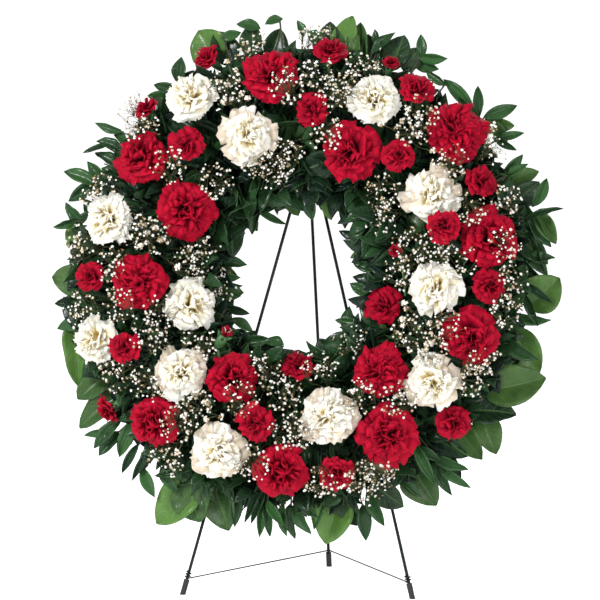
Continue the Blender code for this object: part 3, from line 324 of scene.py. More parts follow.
# Leaves that the photograph shows at the rims and between the blooms: the pixels of the tail
# and of the tip, the width in pixels, the pattern and how far it lies above the tray, in mm
SHOWN_LEAVES = (
    (120, 141, 89, 133, 9, "slim", 34), (120, 160, 92, 149, 12, "oval", 34),
    (104, 154, 79, 161, 6, "slim", 28), (120, 180, 91, 160, 13, "oval", 24),
    (108, 192, 83, 171, 14, "oval", 30), (96, 196, 60, 179, 15, "oval", 34),
    (126, 194, 98, 176, 17, "oval", 38), (100, 190, 65, 211, 15, "oval", 26),
    (86, 236, 62, 213, 13, "oval", 30), (76, 229, 52, 238, 9, "slim", 34),
    (74, 234, 66, 257, 13, "pale", 20), (92, 230, 70, 242, 12, "oval", 26),
    (100, 262, 80, 250, 11, "oval", 32), (94, 264, 66, 268, 6, "slim", 36),
    (96, 292, 50, 286, 34, "broad", 18), (98, 306, 55, 314, 16, "dusky", 22),
    (92, 318, 62, 316, 10, "oval", 20), (88, 326, 58, 340, 15, "oval", 30),
    (76, 326, 77, 395, 24, "pale", 16), (116, 376, 80, 408, 32, "broad", 20),
    (126, 404, 82, 435, 30, "broad", 24), (114, 438, 88, 446, 8, "oval", 32),
    (126, 428, 98, 457, 14, "oval", 36), (124, 440, 104, 464, 15, "oval", 28),
    (138, 430, 124, 466, 15, "oval", 34), (144, 452, 127, 482, 9, "slim", 30),
    (156, 458, 138, 488, 8, "slim", 34), (162, 452, 144, 480, 14, "oval", 24),
    (148, 476, 160, 504, 13, "oval", 30), (166, 474, 182, 500, 12, "oval", 38),
    (208, 488, 162, 531, 42, "pale", 22), (196, 486, 206, 529, 44, "broad", 28),
    (220, 490, 235, 537, 34, "broad", 24), (242, 492, 243, 532, 15, "oval", 30),
    (217, 484, 196, 502, 9, "oval", 48), (214, 478, 231, 499, 9, "oval", 48),
    (192, 478, 160, 484, 8, "slim", 46), (266, 482, 252, 529, 9, "slim", 44),
    (272, 488, 258, 530, 9, "slim", 40), (270, 508, 267, 542, 10, "oval", 34),
    (272, 508, 277, 542, 10, "oval", 38), (272, 506, 290, 531, 10, "oval", 42),
    (290, 508, 291, 541, 11, "oval", 30), (297, 508, 300, 544, 13, "oval", 34),
    (300, 508, 316, 539, 13, "oval", 38), (302, 504, 324, 522, 12, "oval", 42),
    (322, 498, 321, 534, 13, "oval", 28), (348, 498, 332, 548, 40, "pale", 22),
    (345, 494, 362, 530, 26, "dusky", 30), (368, 508, 373, 544, 15, "oval", 34),
    (372, 496, 389, 529, 14, "oval", 40), (376, 488, 406, 512, 28, "dusky", 26),
    (404, 482, 426, 499, 9, "slim", 38), (414, 466, 440, 509, 38, "broad", 24),
    (436, 462, 454, 498, 12, "oval", 40), (440, 468, 472, 491, 10, "oval", 44),
    (434, 458, 470, 473, 12, "oval", 48), (416, 446, 438, 486, 12, "oval", 58),
    (420, 450, 444, 464, 10, "slim", 60), (430, 440, 470, 460, 22, "dusky", 34),
    (452, 420, 484, 462, 28, "broad", 28), (480, 416, 499, 457, 28, "broad", 22),
    (462, 416, 515, 412, 36, "dusky", 34), (484, 396, 545, 381, 42, "broad", 30),
    (510, 332, 538, 378, 34, "pale", 20), (500, 342, 537, 364, 16, "oval", 40),
    (506, 318, 549, 325, 12, "oval", 36), (526, 312, 557, 282, 40, "pale", 22),
    (524, 288, 549, 306, 8, "slim", 42), (522, 298, 536, 330, 9, "slim", 42),
    (518, 268, 552, 261, 13, "oval", 36), (512, 236, 545, 268, 24, "dusky", 34),
    (508, 250, 524, 288, 18, "oval", 30), (522, 218, 532, 262, 18, "oval", 40),
    (532, 216, 553, 248, 18, "broad", 30), (520, 226, 558, 212, 7, "slim", 42),
    (528, 212, 544, 183, 13, "oval", 30), (508, 214, 535, 187, 24, "dusky", 24),
    (500, 190, 533, 176, 20, "pale", 18), (498, 180, 518, 161, 11, "oval", 38),
    (506, 182, 478, 160, 9, "oval", 44), (500, 184, 522, 168, 10, "oval", 42),
    (490, 144, 510, 156, 8, "oval", 34), (492, 144, 518, 138, 9, "oval", 38),
    (480, 124, 502, 154, 17, "broad", 30), (484, 128, 508, 132, 15, "broad", 26),
    (478, 123, 511, 111, 14, "oval", 34), (474, 124, 471, 91, 11, "oval", 38),
    (468, 120, 438, 84, 14, "oval", 32), (478, 128, 450, 104, 12, "oval", 38),
    (442, 92, 418, 77, 9, "oval", 36), (412, 62, 440, 66, 12, "oval", 34),
    (406, 66, 432, 76, 13, "oval", 28), (416, 64, 414, 41, 11, "oval", 32),
    (384, 78, 396, 40, 32, "dusky", 26), (398, 78, 412, 54, 22, "dusky", 30),
    (364, 62, 387, 37, 11, "oval", 36), (374, 54, 367, 36, 9, "oval", 30),
    (356, 76, 352, 28, 24, "broad", 24), (362, 76, 362, 40, 20, "dusky", 30),
    (336, 62, 343, 22, 26, "pale", 28), (346, 78, 348, 42, 20, "broad", 38),
    (326, 64, 322, 28, 26, "dusky", 22), (316, 52, 301, 38, 16, "oval", 30),
    (297, 44, 291, 27, 9, "oval", 32), (276, 26, 258, 31, 10, "oval", 32),
    (264, 66, 274, 36, 26, "dusky", 26), (254, 36, 230, 31, 12, "oval", 34),
    (248, 66, 244, 30, 24, "dusky", 28), (214, 46, 234, 40, 11, "oval", 32),
    (212, 72, 190, 38, 42, "pale", 20), (224, 74, 210, 38, 30, "dusky", 26),
    (174, 92, 175, 65, 15, "oval", 30), (178, 90, 188, 78, 8, "slim", 32),
    (176, 100, 148, 93, 12, "oval", 34), (168, 106, 142, 104, 14, "oval", 26),
    (168, 134, 146, 106, 22, "dusky", 30), (150, 148, 133, 126, 10, "pale", 26),
    (162, 150, 138, 134, 14, "oval", 24), (136, 160, 110, 142, 14, "oval", 26),
    (498, 222, 526, 205, 18, "dusky", 26), (520, 208, 546, 252, 18, "oval", 34),
    (516, 226, 540, 278, 22, "dusky", 30), (514, 250, 546, 280, 18, "oval", 26),
    (516, 214, 538, 236, 18, "dusky", 24), (510, 262, 540, 288, 18, "dusky", 24),
    (498, 242, 527, 230, 20, "dusky", 24), (484, 374, 520, 362, 24, "dusky", 20),
    (484, 394, 514, 386, 20, "dusky", 18), (444, 448, 464, 482, 18, "dusky", 22),
    (334, 166, 297, 180, 30, "dusky", 62), (395, 232, 372, 218, 24, "dusky", 60),
    (420, 236, 404, 222, 24, "broad", 64), (280, 356, 252, 352, 18, "dusky", 30),
    (286, 352, 266, 346, 14, "oval", 44), (232, 222, 233, 266, 22, "dusky", 36),
    (258, 208, 250, 242, 14, "oval", 38), (252, 212, 284, 233, 8, "slim", 34),
    (286, 198, 296, 223, 20, "broad", 30), (304, 198, 310, 227, 15, "oval", 32),
    (322, 200, 327, 227, 13, "pale", 34), (334, 202, 352, 229, 13, "oval", 34),
    (370, 222, 351, 242, 12, "oval", 32), (374, 242, 352, 250, 9, "slim", 32),
    (374, 256, 349, 264, 10, "pale", 34), (378, 276, 352, 270, 11, "oval", 32),
    (372, 302, 349, 290, 12, "oval", 34), (362, 330, 335, 327, 9, "oval", 38),
    (344, 374, 318, 346, 28, "dusky", 36), (246, 350, 272, 347, 13, "oval", 36),
    (228, 316, 250, 321, 9, "slim", 30), (232, 326, 255, 338, 11, "oval", 34),
    (220, 272, 246, 271, 13, "oval", 34), (218, 284, 240, 286, 9, "oval", 32),
    (222, 292, 243, 294, 7, "slim", 34), (224, 302, 241, 304, 9, "oval", 32),
)
# Each pattern's model, whether it is of the broad kind, and the darkest and lightest of its greens
LEAF_PATTERNS = {
    "broad": ("broad", True, 0.25, 0.65),
    "pale": ("broad", True, 0.75, 1.00),
    "dusky": ("broad", True, 0.00, 0.12),
    "oval": ("small", False, 0.45, 1.00),
    "slim": ("small", False, 0.25, 0.80),
}


# The wreath's frame


def world(point):
    """A point of the wreath's frame (u, v, n) as a point of the object."""
    return CENTRE + AXIS_U * point[0] + AXIS_V * point[1] + AXIS_N * point[2]


def outward(point):
    """Unit vector from the wreath's axis to the point, in the wreath's plane."""
    return Vector((point[0], point[1], 0)).normalized()


def core_of(point):
    """The point of the ring's core circle that is nearest in angle."""
    return outward(point) * RING_RADIUS + Vector((0, 0, CORE_HEIGHT))


def foam_profile():
    """The foam's section as (offset from the ring radius, height)."""
    wide, top = FOAM_HALF_WIDTH, FOAM_TOP
    right = [(wide, FOAM_BACK), (wide, FOAM_SHOULDER), (wide * 0.76, top * 0.90)]
    crown = [(wide * 0.30, top), (-wide * 0.30, top)]
    return right + crown + [(-x, y) for x, y in reversed(right)]


def foam_distance(angle):
    """Distance from the core to the foam's surface, at an angle from the front towards outside."""
    ray = Vector((math.sin(angle), math.cos(angle)))
    outline = [Vector((x, y - CORE_HEIGHT)) for x, y in foam_profile()]
    for a, b in zip(outline, outline[1:]):
        side = b - a
        across = ray.x * side.y - ray.y * side.x
        if abs(across) < 1e-12:
            continue
        along = (a.x * side.y - a.y * side.x) / across
        share = (a.x * ray.y - a.y * ray.x) / across
        if along > 0 and -1e-9 <= share <= 1 + 1e-9:
            return along
    return FOAM_HALF_WIDTH


def section_angle(point):
    """Angle of a point round the core, from the front towards outside."""
    offset = math.hypot(point[0], point[1]) - RING_RADIUS
    return math.atan2(offset, point[2] - CORE_HEIGHT)


def sight(pixel_x, pixel_y, height):
    """Where in the wreath's plane the photograph shows a pixel, at a height above the tray."""
    right = (pixel_x - CENTRE_PIXEL[0]) * METRES_PER_PIXEL
    up = (CENTRE_PIXEL[1] - pixel_y) * METRES_PER_PIXEL
    u = (right + height * math.sin(SEEN_FROM_RIGHT)) / math.cos(SEEN_FROM_RIGHT)
    v = (up - height * math.sin(SEEN_FROM_BELOW)) / math.cos(SEEN_FROM_BELOW)
    return u, v


def place(pixel_x, pixel_y, reach, lift=0.0):
    """The point of the wreath's frame that the photograph shows at a pixel, on a tube of the
    given radius round the ring's core."""
    height = CORE_HEIGHT + reach
    for _ in range(SIGHT_ROUNDS):
        u, v = sight(pixel_x, pixel_y, height)
        offset = abs(math.hypot(u, v) - RING_RADIUS)
        slope = math.asin(min(offset / reach, math.sin(STEEPEST)))
        height = CORE_HEIGHT + lift + max(reach * math.cos(slope), offset / math.tan(STEEPEST))
    return Vector((u, v, height))


def place_flat(pixel_x, pixel_y, height):
    """The point of the wreath's frame that the photograph shows at a pixel, at a height above
    the tray."""
    return Vector((*sight(pixel_x, pixel_y, height), height))


def turned(first, second, turn):
    """A direction turned from the first one towards the second."""
    return first * math.cos(turn) + second * math.sin(turn)


def square_to(axis, direction):
    """The part of a direction that lies square to an axis, as a unit vector."""
    return (direction - axis * direction.dot(axis)).normalized()


def round_ring(angle):
    """The directions out from the wreath's axis and along the ring, at an angle round it."""
    cos, sin = math.cos(angle), math.sin(angle)
    return Vector((cos, sin, 0)), Vector((-sin, cos, 0))


def spoke(angle, sign, yaw, rise):
    """A direction out from the ring or into its hole, turned aside and raised, in degrees."""
    out, across = round_ring(angle)
    return turned(turned(out * sign, across, math.radians(yaw)), UP, math.radians(rise))


def footing(top):
    """How a stem that ends at a point stands in the foam: the core's point below it, the
    direction up from there, the foam's reach that way, and the direction along the ring."""
    core = core_of(top)
    direction = (top - core).normalized()
    return core, direction, foam_distance(section_angle(top)), outward(top).cross(UP)


def samples(a, b, steps, first=0):
    """Points spread evenly from a to b."""
    return [a.lerp(b, i / steps) for i in range(first, steps + 1)]


# Materials


class Graph:
    """Adds nodes to a material or a group, and links their sockets by name."""

    def __init__(self, tree):
        self.tree = tree

    def node(self, kind, **settings):
        node = self.tree.nodes.new(kind)
        for name, value in settings.items():
            if name.startswith("in_"):
                node.inputs[name[3:].replace("_", " ")].default_value = value
            else:
                setattr(node, name, value)
        return node

    def link(self, source, target):
        self.tree.links.new(source, target)

    def value(self, operation, a, b=None):
        """A Math node over sockets or numbers, and its result."""
        node = self.tree.nodes.new("ShaderNodeMath")
        node.operation = operation
        for slot, item in enumerate((a, b)):
            if item is None:
                continue
            if isinstance(item, (int, float)):
                node.inputs[slot].default_value = item
            else:
                self.link(item, node.inputs[slot])
        return node.outputs[0]

    def plus(self, a, b):
        return self.value("ADD", a, b)

    def less(self, a, b):
        return self.value("SUBTRACT", a, b)

    def times(self, a, b):
        return self.value("MULTIPLY", a, b)

    def swing(self, source, share):
        """A share of how far a value from 0 to 1 lies from its middle."""
        return self.times(self.less(source, 0.5), share)

    def attribute(self, name):
        """One of the numbers that a piece gives each of its points."""
        return self.node("ShaderNodeAttribute", attribute_name=name).outputs["Fac"]

    def ramp(self, source, stops):
        """A colour ramp over a value. Each stop is (position, (r, g, b))."""
        node = self.tree.nodes.new("ShaderNodeValToRGB")
        ramp = node.color_ramp
        while len(ramp.elements) < len(stops):
            ramp.elements.new(0.5)
        for element, (position, colour) in zip(ramp.elements, stops):
            element.position = position
            element.color = (*colour, 1)
        self.link(source, node.inputs["Fac"])
        return node.outputs["Color"]

    def mixed(self, factor, a, b):
        """A colour mix of two sockets or colours by a factor."""
        node = self.tree.nodes.new("ShaderNodeMix")
        node.data_type = "RGBA"
        for slot, item in ((0, factor), (6, a), (7, b)):
            if isinstance(item, (int, float)):
                node.inputs[slot].default_value = item
            elif isinstance(item, tuple):
                node.inputs[slot].default_value = (*item, 1)
            else:
                self.link(item, node.inputs[slot])
        return node.outputs[2]


def new_group(name, inputs, outputs):
    """An empty node group with named sockets, and its input and output nodes."""
    group = bpy.data.node_groups.new(name, "ShaderNodeTree")
    for title, kind, value in inputs:
        socket = group.interface.new_socket(title, in_out="INPUT", socket_type=kind)
        socket.default_value = value
    for title, kind in outputs:
        group.interface.new_socket(title, in_out="OUTPUT", socket_type=kind)
    return group, group.nodes.new("NodeGroupInput"), group.nodes.new("NodeGroupOutput")


def mottle_group():
    """Broad and fine mottling in object space, as a mask from 0 to 1."""
    group, given, result = new_group(
        "mottle",
        (("Scale", "NodeSocketFloat", 60.0), ("Fineness", "NodeSocketFloat", 4.0)),
        (("Broad", "NodeSocketFloat"), ("Fine", "NodeSocketFloat")),
    )
    graph = Graph(group)
    spot_node = graph.node("ShaderNodeTexCoord")
    broad = graph.node("ShaderNodeTexNoise", in_Detail=3.0)
    fine = graph.node("ShaderNodeTexNoise", in_Detail=5.0)
    graph.link(spot_node.outputs["Object"], broad.inputs["Vector"])
    graph.link(spot_node.outputs["Object"], fine.inputs["Vector"])
    graph.link(given.outputs["Scale"], broad.inputs["Scale"])
    finer = graph.times(given.outputs["Scale"], given.outputs["Fineness"])
    graph.link(finer, fine.inputs["Scale"])
    graph.link(broad.outputs["Fac"], result.inputs["Broad"])
    graph.link(fine.outputs["Fac"], result.inputs["Fine"])
    return group


def vein_group():
    """Leaf veins from the leaf's own map: the midrib, and side veins that run up to the edge."""
    group, given, result = new_group(
        "leaf_veins",
        (("Pairs", "NodeSocketFloat", 7.0), ("Slant", "NodeSocketFloat", 0.55)),
        (("Midrib", "NodeSocketFloat"), ("Side Veins", "NodeSocketFloat")),
    )
    graph = Graph(group)
    chart = graph.node("ShaderNodeUVMap", uv_map="leaf")
    split = graph.node("ShaderNodeSeparateXYZ")
    graph.link(chart.outputs["UV"], split.inputs["Vector"])
    across = graph.value("ABSOLUTE", graph.less(split.outputs["X"], 0.5))
    rib = graph.less(1.0, graph.times(across, 22.0))
    graph.link(graph.value("MAXIMUM", rib, 0.0), result.inputs["Midrib"])
    along = graph.less(split.outputs["Y"], graph.times(across, given.outputs["Slant"]))
    wave = graph.value("FRACT", graph.times(along, given.outputs["Pairs"]))
    peak = graph.value("ABSOLUTE", graph.less(wave, 0.5))
    line = graph.times(graph.less(peak, 0.40), 10.0)
    graph.link(graph.value("MAXIMUM", line, 0.0), result.inputs["Side Veins"])
    return group


MOTTLE = mottle_group()
VEINS = vein_group()


def new_material(name, roughness, **sockets):
    """A material with its Principled shader, and the graph to feed it."""
    material = bpy.data.materials.new(name)
    material.use_nodes = True
    shader = material.node_tree.nodes["Principled BSDF"]
    shader.inputs["Roughness"].default_value = roughness
    for key, value in sockets.items():
        shader.inputs[key.replace("_", " ")].default_value = value
    return material, shader, Graph(material.node_tree)


def add_mottle(graph, scale, fineness):
    """The broad and the fine mottling at a scale."""
    node = graph.node("ShaderNodeGroup", node_tree=MOTTLE)
    node.inputs["Scale"].default_value = scale
    node.inputs["Fineness"].default_value = fineness
    return node.outputs["Broad"], node.outputs["Fine"]


def add_bump(graph, shader, height, strength, distance):
    """Bump from a height, up to a distance in metres."""
    node = graph.node("ShaderNodeBump", in_Strength=strength, in_Distance=distance)
    graph.link(height, node.inputs["Height"])
    graph.link(node.outputs["Normal"], shader.inputs["Normal"])


def petal_material(name, stops, blush, sheen, **sockets):
    """Petals: the colour follows a painted shade, from the dark of the heart, the petal bases and
    the folds' valleys to the lighter rims and ridges, with the white blooms' yellow heart tint;
    under a velvety sheen, with fine ribs along the petal."""
    material, shader, graph = new_material(
        name, 0.62, Sheen_Weight=sheen, Sheen_Roughness=0.4, **sockets
    )
    # The painted shade and tint that each petal point carries
    tone = graph.attribute("tone")
    shade = graph.attribute("shade")
    broad, fine = add_mottle(graph, 90.0, 6.0)
    level = graph.plus(tone, graph.swing(broad, 0.35))
    level = graph.plus(level, graph.swing(shade, 0.25))
    colour = graph.ramp(level, stops)
    tint = graph.times(graph.value("GREATER_THAN", shade, 0.90), graph.plus(0.35, broad))
    colour = graph.mixed(tint, colour, blush)
    chart = graph.node("ShaderNodeUVMap", uv_map="leaf")
    ribs = graph.node("ShaderNodeTexWave", in_Scale=7.0, in_Distortion=2.5, in_Detail=2.0)
    graph.link(chart.outputs["UV"], ribs.inputs["Vector"])
    streak = graph.times(graph.less(1.0, ribs.outputs["Fac"]), 0.30)
    colour = graph.mixed(streak, colour, stops[1][1])
    graph.link(colour, shader.inputs["Base Color"])
    height = graph.plus(graph.times(ribs.outputs["Fac"], 0.7), fine)
    add_bump(graph, shader, height, 0.40, 0.0008)
    return material


def leaf_material(name, dark, light, vein, roughness, pairs):
    """Leaves: their own green from leaf to leaf, paler veins, a waxy coat and a quilted face."""
    material, shader, graph = new_material(
        name, roughness, Specular_IOR_Level=0.16, Coat_Weight=0.13, Coat_Roughness=0.16
    )
    shade = graph.attribute("shade")
    veins = graph.node("ShaderNodeGroup", node_tree=VEINS)
    veins.inputs["Pairs"].default_value = pairs
    broad, fine = add_mottle(graph, 70.0, 5.0)
    level = graph.plus(shade, graph.swing(broad, 0.6))
    halfway = tuple((a + b) / 2 for a, b in zip(dark, light))
    colour = graph.ramp(level, ((0.0, dark), (0.55, halfway), (1.0, light)))
    side_veins = graph.times(veins.outputs["Side Veins"], 0.4)
    lines = graph.value("MAXIMUM", veins.outputs["Midrib"], side_veins)
    colour = graph.mixed(graph.times(lines, 0.55), colour, vein)
    graph.link(colour, shader.inputs["Base Color"])
    height = graph.less(graph.times(fine, 0.4), lines)
    add_bump(graph, shader, height, 0.7, 0.0012)
    return material


def mottled_material(name, dark, light, roughness, scale, bump, **sockets):
    """A finish that varies a little in colour and roughness over its surface."""
    material, shader, graph = new_material(name, roughness, **sockets)
    broad, fine = add_mottle(graph, scale, 6.0)
    level = graph.plus(graph.times(broad, 0.6), graph.times(fine, 0.4))
    colour = graph.ramp(level, ((0.3, dark), (0.7, light)))
    graph.link(colour, shader.inputs["Base Color"])
    graph.link(graph.plus(roughness - 0.08, graph.times(fine, 0.16)), shader.inputs["Roughness"])
    add_bump(graph, shader, fine, bump, 0.0004)
    return material


def floret_material():
    """Baby's breath: white open florets, and here and there a tan, faded or unopened one; the
    cream and tan ones also stand as painted shade between the florets.
    """
    material, shader, graph = new_material("breath_floret", 0.70, Specular_IOR_Level=0.2)
    shade = graph.attribute("shade")
    broad, fine = add_mottle(graph, 400.0, 3.0)
    level = graph.plus(shade, graph.swing(broad, 0.4))
    # The tan and cream stops are partly the florets' own colour and partly painted shade
    tan, cream, white = (0.300, 0.200, 0.095), (0.700, 0.590, 0.420), (0.940, 0.920, 0.870)
    stops = ((0.12, tan), (0.38, cream), (0.58, white))
    graph.link(graph.ramp(level, stops), shader.inputs["Base Color"])
    add_bump(graph, shader, fine, 0.4, 0.0004)
    return material


def tray_material():
    """Moulded plastic with fine rings round the wreath's middle, as the mould leaves them."""
    material, shader, graph = new_material("tray_plastic", 0.48, Specular_IOR_Level=0.35)
    chart = graph.node("ShaderNodeTexCoord")
    middle = graph.node("ShaderNodeMapping", vector_type="TEXTURE")
    middle.inputs["Location"].default_value = CENTRE
    middle.inputs["Rotation"].default_value = (math.pi / 2 - LEAN, 0, 0)
    graph.link(chart.outputs["Object"], middle.inputs["Vector"])
    rings = graph.node("ShaderNodeTexWave", wave_type="RINGS", rings_direction="Z", in_Scale=25.0)
    graph.link(middle.outputs["Vector"], rings.inputs["Vector"])
    broad, fine = add_mottle(graph, 60.0, 9.0)
    level = graph.plus(graph.times(rings.outputs["Fac"], 0.3), graph.times(broad, 0.7))
    colour = graph.ramp(level, ((0.2, (0.004, 0.018, 0.009)), (0.8, (0.010, 0.036, 0.018))))
    graph.link(colour, shader.inputs["Base Color"])
    graph.link(graph.plus(0.40, graph.times(fine, 0.18)), shader.inputs["Roughness"])
    add_bump(graph, shader, graph.plus(rings.outputs["Fac"], graph.times(fine, 0.2)), 0.6, 0.0008)
    return material


# The lower stops are painted shade for the folds, the petal bases and the heart
RED_PETAL = petal_material(
    "red_petal",
    ((0.0, (0.150, 0.0006, 0.011)), (0.45, (0.310, 0.0006, 0.016)), (1.0, (0.440, 0.0008, 0.021))),
    (0.380, 0.0008, 0.018),
    0.02,
    Specular_IOR_Level=0.10,
    Subsurface_Weight=0.05,
    Subsurface_Scale=0.004,
)
# The lower stops give the folds, the petal bases and the heart a yellow tint, partly painted shade
WHITE_PETAL = petal_material(
    "white_petal",
    ((0.0, (0.960, 0.730, 0.260)), (0.24, (0.940, 0.830, 0.540)), (0.58, (0.900, 0.880, 0.800))),
    (0.600, 0.470, 0.360),
    0.02,
    Specular_IOR_Level=0.20,
    Subsurface_Weight=0.32,
    Subsurface_Radius=(1.0, 0.8, 0.55),
    Subsurface_Scale=0.005,
)
BROAD_LEAF = leaf_material(
    "broad_leaf", (0.010, 0.028, 0.014), (0.078, 0.172, 0.034), (0.120, 0.220, 0.070), 0.34, 7.0
)
SMALL_LEAF = leaf_material(
    "small_leaf", (0.004, 0.012, 0.009), (0.032, 0.098, 0.026), (0.050, 0.115, 0.045), 0.26, 6.0
)
LEAF_BACK = leaf_material(
    "leaf_back", (0.010, 0.030, 0.016), (0.060, 0.130, 0.045), (0.090, 0.160, 0.070), 0.55, 7.0
)
BARK = mottled_material(
    "twig_bark", (0.012, 0.026, 0.012), (0.060, 0.060, 0.026), 0.65, 300.0, 0.5
)
CALYX = mottled_material(
    "calyx_green", (0.040, 0.120, 0.040), (0.100, 0.220, 0.080), 0.50, 150.0, 0.3
)
FLORET = floret_material()
BREATH_GREEN = mottled_material(
    "breath_stalk", (0.016, 0.030, 0.012), (0.110, 0.110, 0.040), 0.60, 250.0, 0.3
)
FOAM = mottled_material("wet_foam", (0.004, 0.016, 0.007), (0.012, 0.040, 0.018), 0.85, 900.0, 0.9)
TRAY = tray_material()
WIRE_PAINT = mottled_material(
    "wire_paint",
    (0.002, 0.006, 0.006),
    (0.006, 0.013, 0.012),
    0.48,
    240.0,
    0.2,
    Specular_IOR_Level=0.16,
)
CAP_RUBBER = mottled_material(
    "cap_rubber", (0.008, 0.008, 0.008), (0.020, 0.020, 0.020), 0.75, 500.0, 0.4
)


# Meshes


class Piece:
    """Gathers the sheets, tubes and florets of one piece, and builds it as one mesh."""

    def __init__(self, name, materials):
        self.name = name
        self.materials = materials
        self.vertices = []
        self.faces = []
        self.kinds = []
        self.charts = []
        self.shades_and_tints = []
        self.shades = []

    def add(self, vertices, faces, kind=0, chart=(0.5, 0.5), tone=0.5, shade=0.5):
        """Adds a shape. kind is the material's place in the list, or one for each face, and chart
        and the petals' painted shade and tint are one value or one for each vertex."""
        start = len(self.vertices)
        count = len(vertices)
        self.vertices += vertices
        self.faces += [tuple(start + i for i in face) for face in faces]
        self.kinds += kind if isinstance(kind, list) else [kind] * len(faces)
        self.charts += chart if isinstance(chart, list) else [chart] * count
        self.shades_and_tints += tone if isinstance(tone, list) else [tone] * count
        self.shades += [shade] * count

    def build(self, body, slot, replaced=()):
        """Makes the object in its real place, rides it and hides the solids that it replaces. slot
        is not used.
        """
        mesh = bpy.data.meshes.new(self.name)
        mesh.from_pydata([world(v) for v in self.vertices], [], self.faces)
        for material in self.materials:
            mesh.materials.append(material)
        mesh.polygons.foreach_set("material_index", self.kinds)
        mesh.polygons.foreach_set("use_smooth", [True] * len(self.faces))
        # The petals' painted shade and tint, and each part's own shade of colour
        for title, values in (("tone", self.shades_and_tints), ("shade", self.shades)):
            layer = mesh.attributes.new(title, "FLOAT", "POINT")
            layer.data.foreach_set("value", values)
        chart = mesh.uv_layers.new(name="leaf")
        corners = [0] * len(mesh.loops)
        mesh.loops.foreach_get("vertex_index", corners)
        flat = [c for i in corners for c in self.charts[i]]
        chart.data.foreach_set("uv", flat)
        mesh.update()
        piece = bpy.data.objects.new(self.name, mesh)
        bpy.context.scene.collection.objects.link(piece)
        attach(piece, body)
        if replaced:
            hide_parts(*replaced)
        return piece


def take_mesh(piece):
    """The points and faces of a finished model, which is then taken off the bench."""
    mesh = piece.data
    vertices = [v.co.copy() for v in mesh.vertices]
    faces = [tuple(f.vertices) for f in mesh.polygons]
    bpy.data.objects.remove(piece)
    bpy.data.meshes.remove(mesh)
    return vertices, faces


def pressed_sheet(columns, rows, shape, thickness):
    """A thin closed sheet: a grid whose points are moved by shape(across, along), with across
    from -1 to 1 and along from 0 to 1, and then given its thickness. It returns the points, the
    faces, which faces are the back, and each point's place on the grid."""
    bpy.ops.object.select_all(action="DESELECT")
    bpy.ops.mesh.primitive_grid_add(x_subdivisions=columns - 1, y_subdivisions=rows - 1, size=2)
    blank = bpy.context.object
    chart = [((v.co.x + 1) / 2, (v.co.y + 1) / 2) for v in blank.data.vertices]
    for vertex, (across, along) in zip(blank.data.vertices, chart):
        vertex.co = shape(2 * across - 1, along)
    front = len(blank.data.polygons)
    wall = blank.modifiers.new("thickness", "SOLIDIFY")
    wall.thickness = thickness
    wall.offset = -1
    bpy.ops.object.modifier_apply(modifier=wall.name)
    vertices, faces = take_mesh(blank)
    kinds = [0] * front + [1] * (len(faces) - front)
    return vertices, faces, kinds, [chart[i % len(chart)] for i in range(len(vertices))]


def tube(points, radii, sides, reference):
    """Vertices and faces of a closed tube along points. Its corners are turned by reference."""
    vertices, faces = [], []
    for i, point in enumerate(points):
        along = (points[min(i + 1, len(points) - 1)] - points[max(i - 1, 0)]).normalized()
        side = square_to(along, reference)
        other = along.cross(side)
        for k in range(sides):
            turn = 2 * math.pi * k / sides
            vertices.append(point + turned(side, other, turn) * radii[i])
    for i in range(len(points) - 1):
        for k in range(sides):
            a, b = i * sides + k, i * sides + (k + 1) % sides
            faces.append((a, b, b + sides, a + sides))
    faces.append(tuple(reversed(range(sides))))
    last = (len(points) - 1) * sides
    faces.append(tuple(range(last, last + sides)))
    return vertices, faces


def sideways(direction):
    """Some unit vector across a direction."""
    helper = UP if abs(direction.normalized().z) < 0.9 else Vector((1, 0, 0))
    return direction.cross(helper).normalized()


def curve(a, b, bow, steps):
    """Points from a to b, bowed aside by a vector in the middle."""
    shares = [i / steps for i in range(steps + 1)]
    return [a.lerp(b, share) + bow * 4 * share * (1 - share) for share in shares]


# Blooms


class Bloom:
    """Where a bloom's parts lie: its face, its petals' base, its calyx and its root."""

    def __init__(self, name, pixel, form):
        x, y, size = pixel
        self.name = name
        self.form = form
        self.radius = size * METRES_PER_PIXEL
        self.face = place(x, y, REACH, LIFTS.get(name, 0.0))
        self.axis = self.tilted(form["turned"])
        self.height = form["height"] * min(1.0, self.radius / (form["height"] * SMALL_HEAD))
        self.base = self.face - self.axis * self.height * FACE_SHARE
        self.calyx_end = self.base - self.axis * form["calyx"][0]
        core, direction, surface, self.tangent = footing(self.calyx_end)
        self.root = core + direction * (surface - STEM_DEPTH)

    def tilted(self, share):
        """A head's direction, turned from the front by a share of its place round the section."""
        angle = section_angle(self.face) * share
        return turned(UP, outward(self.face), angle)

    def turn_to(self, axis):
        """Turns the head and its calyx about the head's middle."""
        middle = self.base + self.axis * self.height * 0.5
        self.axis = axis
        self.base = middle - axis * self.height * 0.5
        self.calyx_end = self.base - axis * self.form["calyx"][0]


def all_blooms():
    """Every bloom as its solid stands. A forked one is rooted low on another one's stem."""
    blooms = []
    for table, form in ((RED | WHITE, LARGE_FORM), (MINI, MINI_FORM), (BUD, BUD_FORM)):
        blooms += [Bloom(name, pixel, form) for name, pixel in table.items()]
    by_name = {bloom.name: bloom for bloom in blooms}
    for small, large in FORKED.items():
        by_name[small].root = by_name[large].calyx_end.lerp(by_name[large].root, FORK_SHARE)
    return blooms


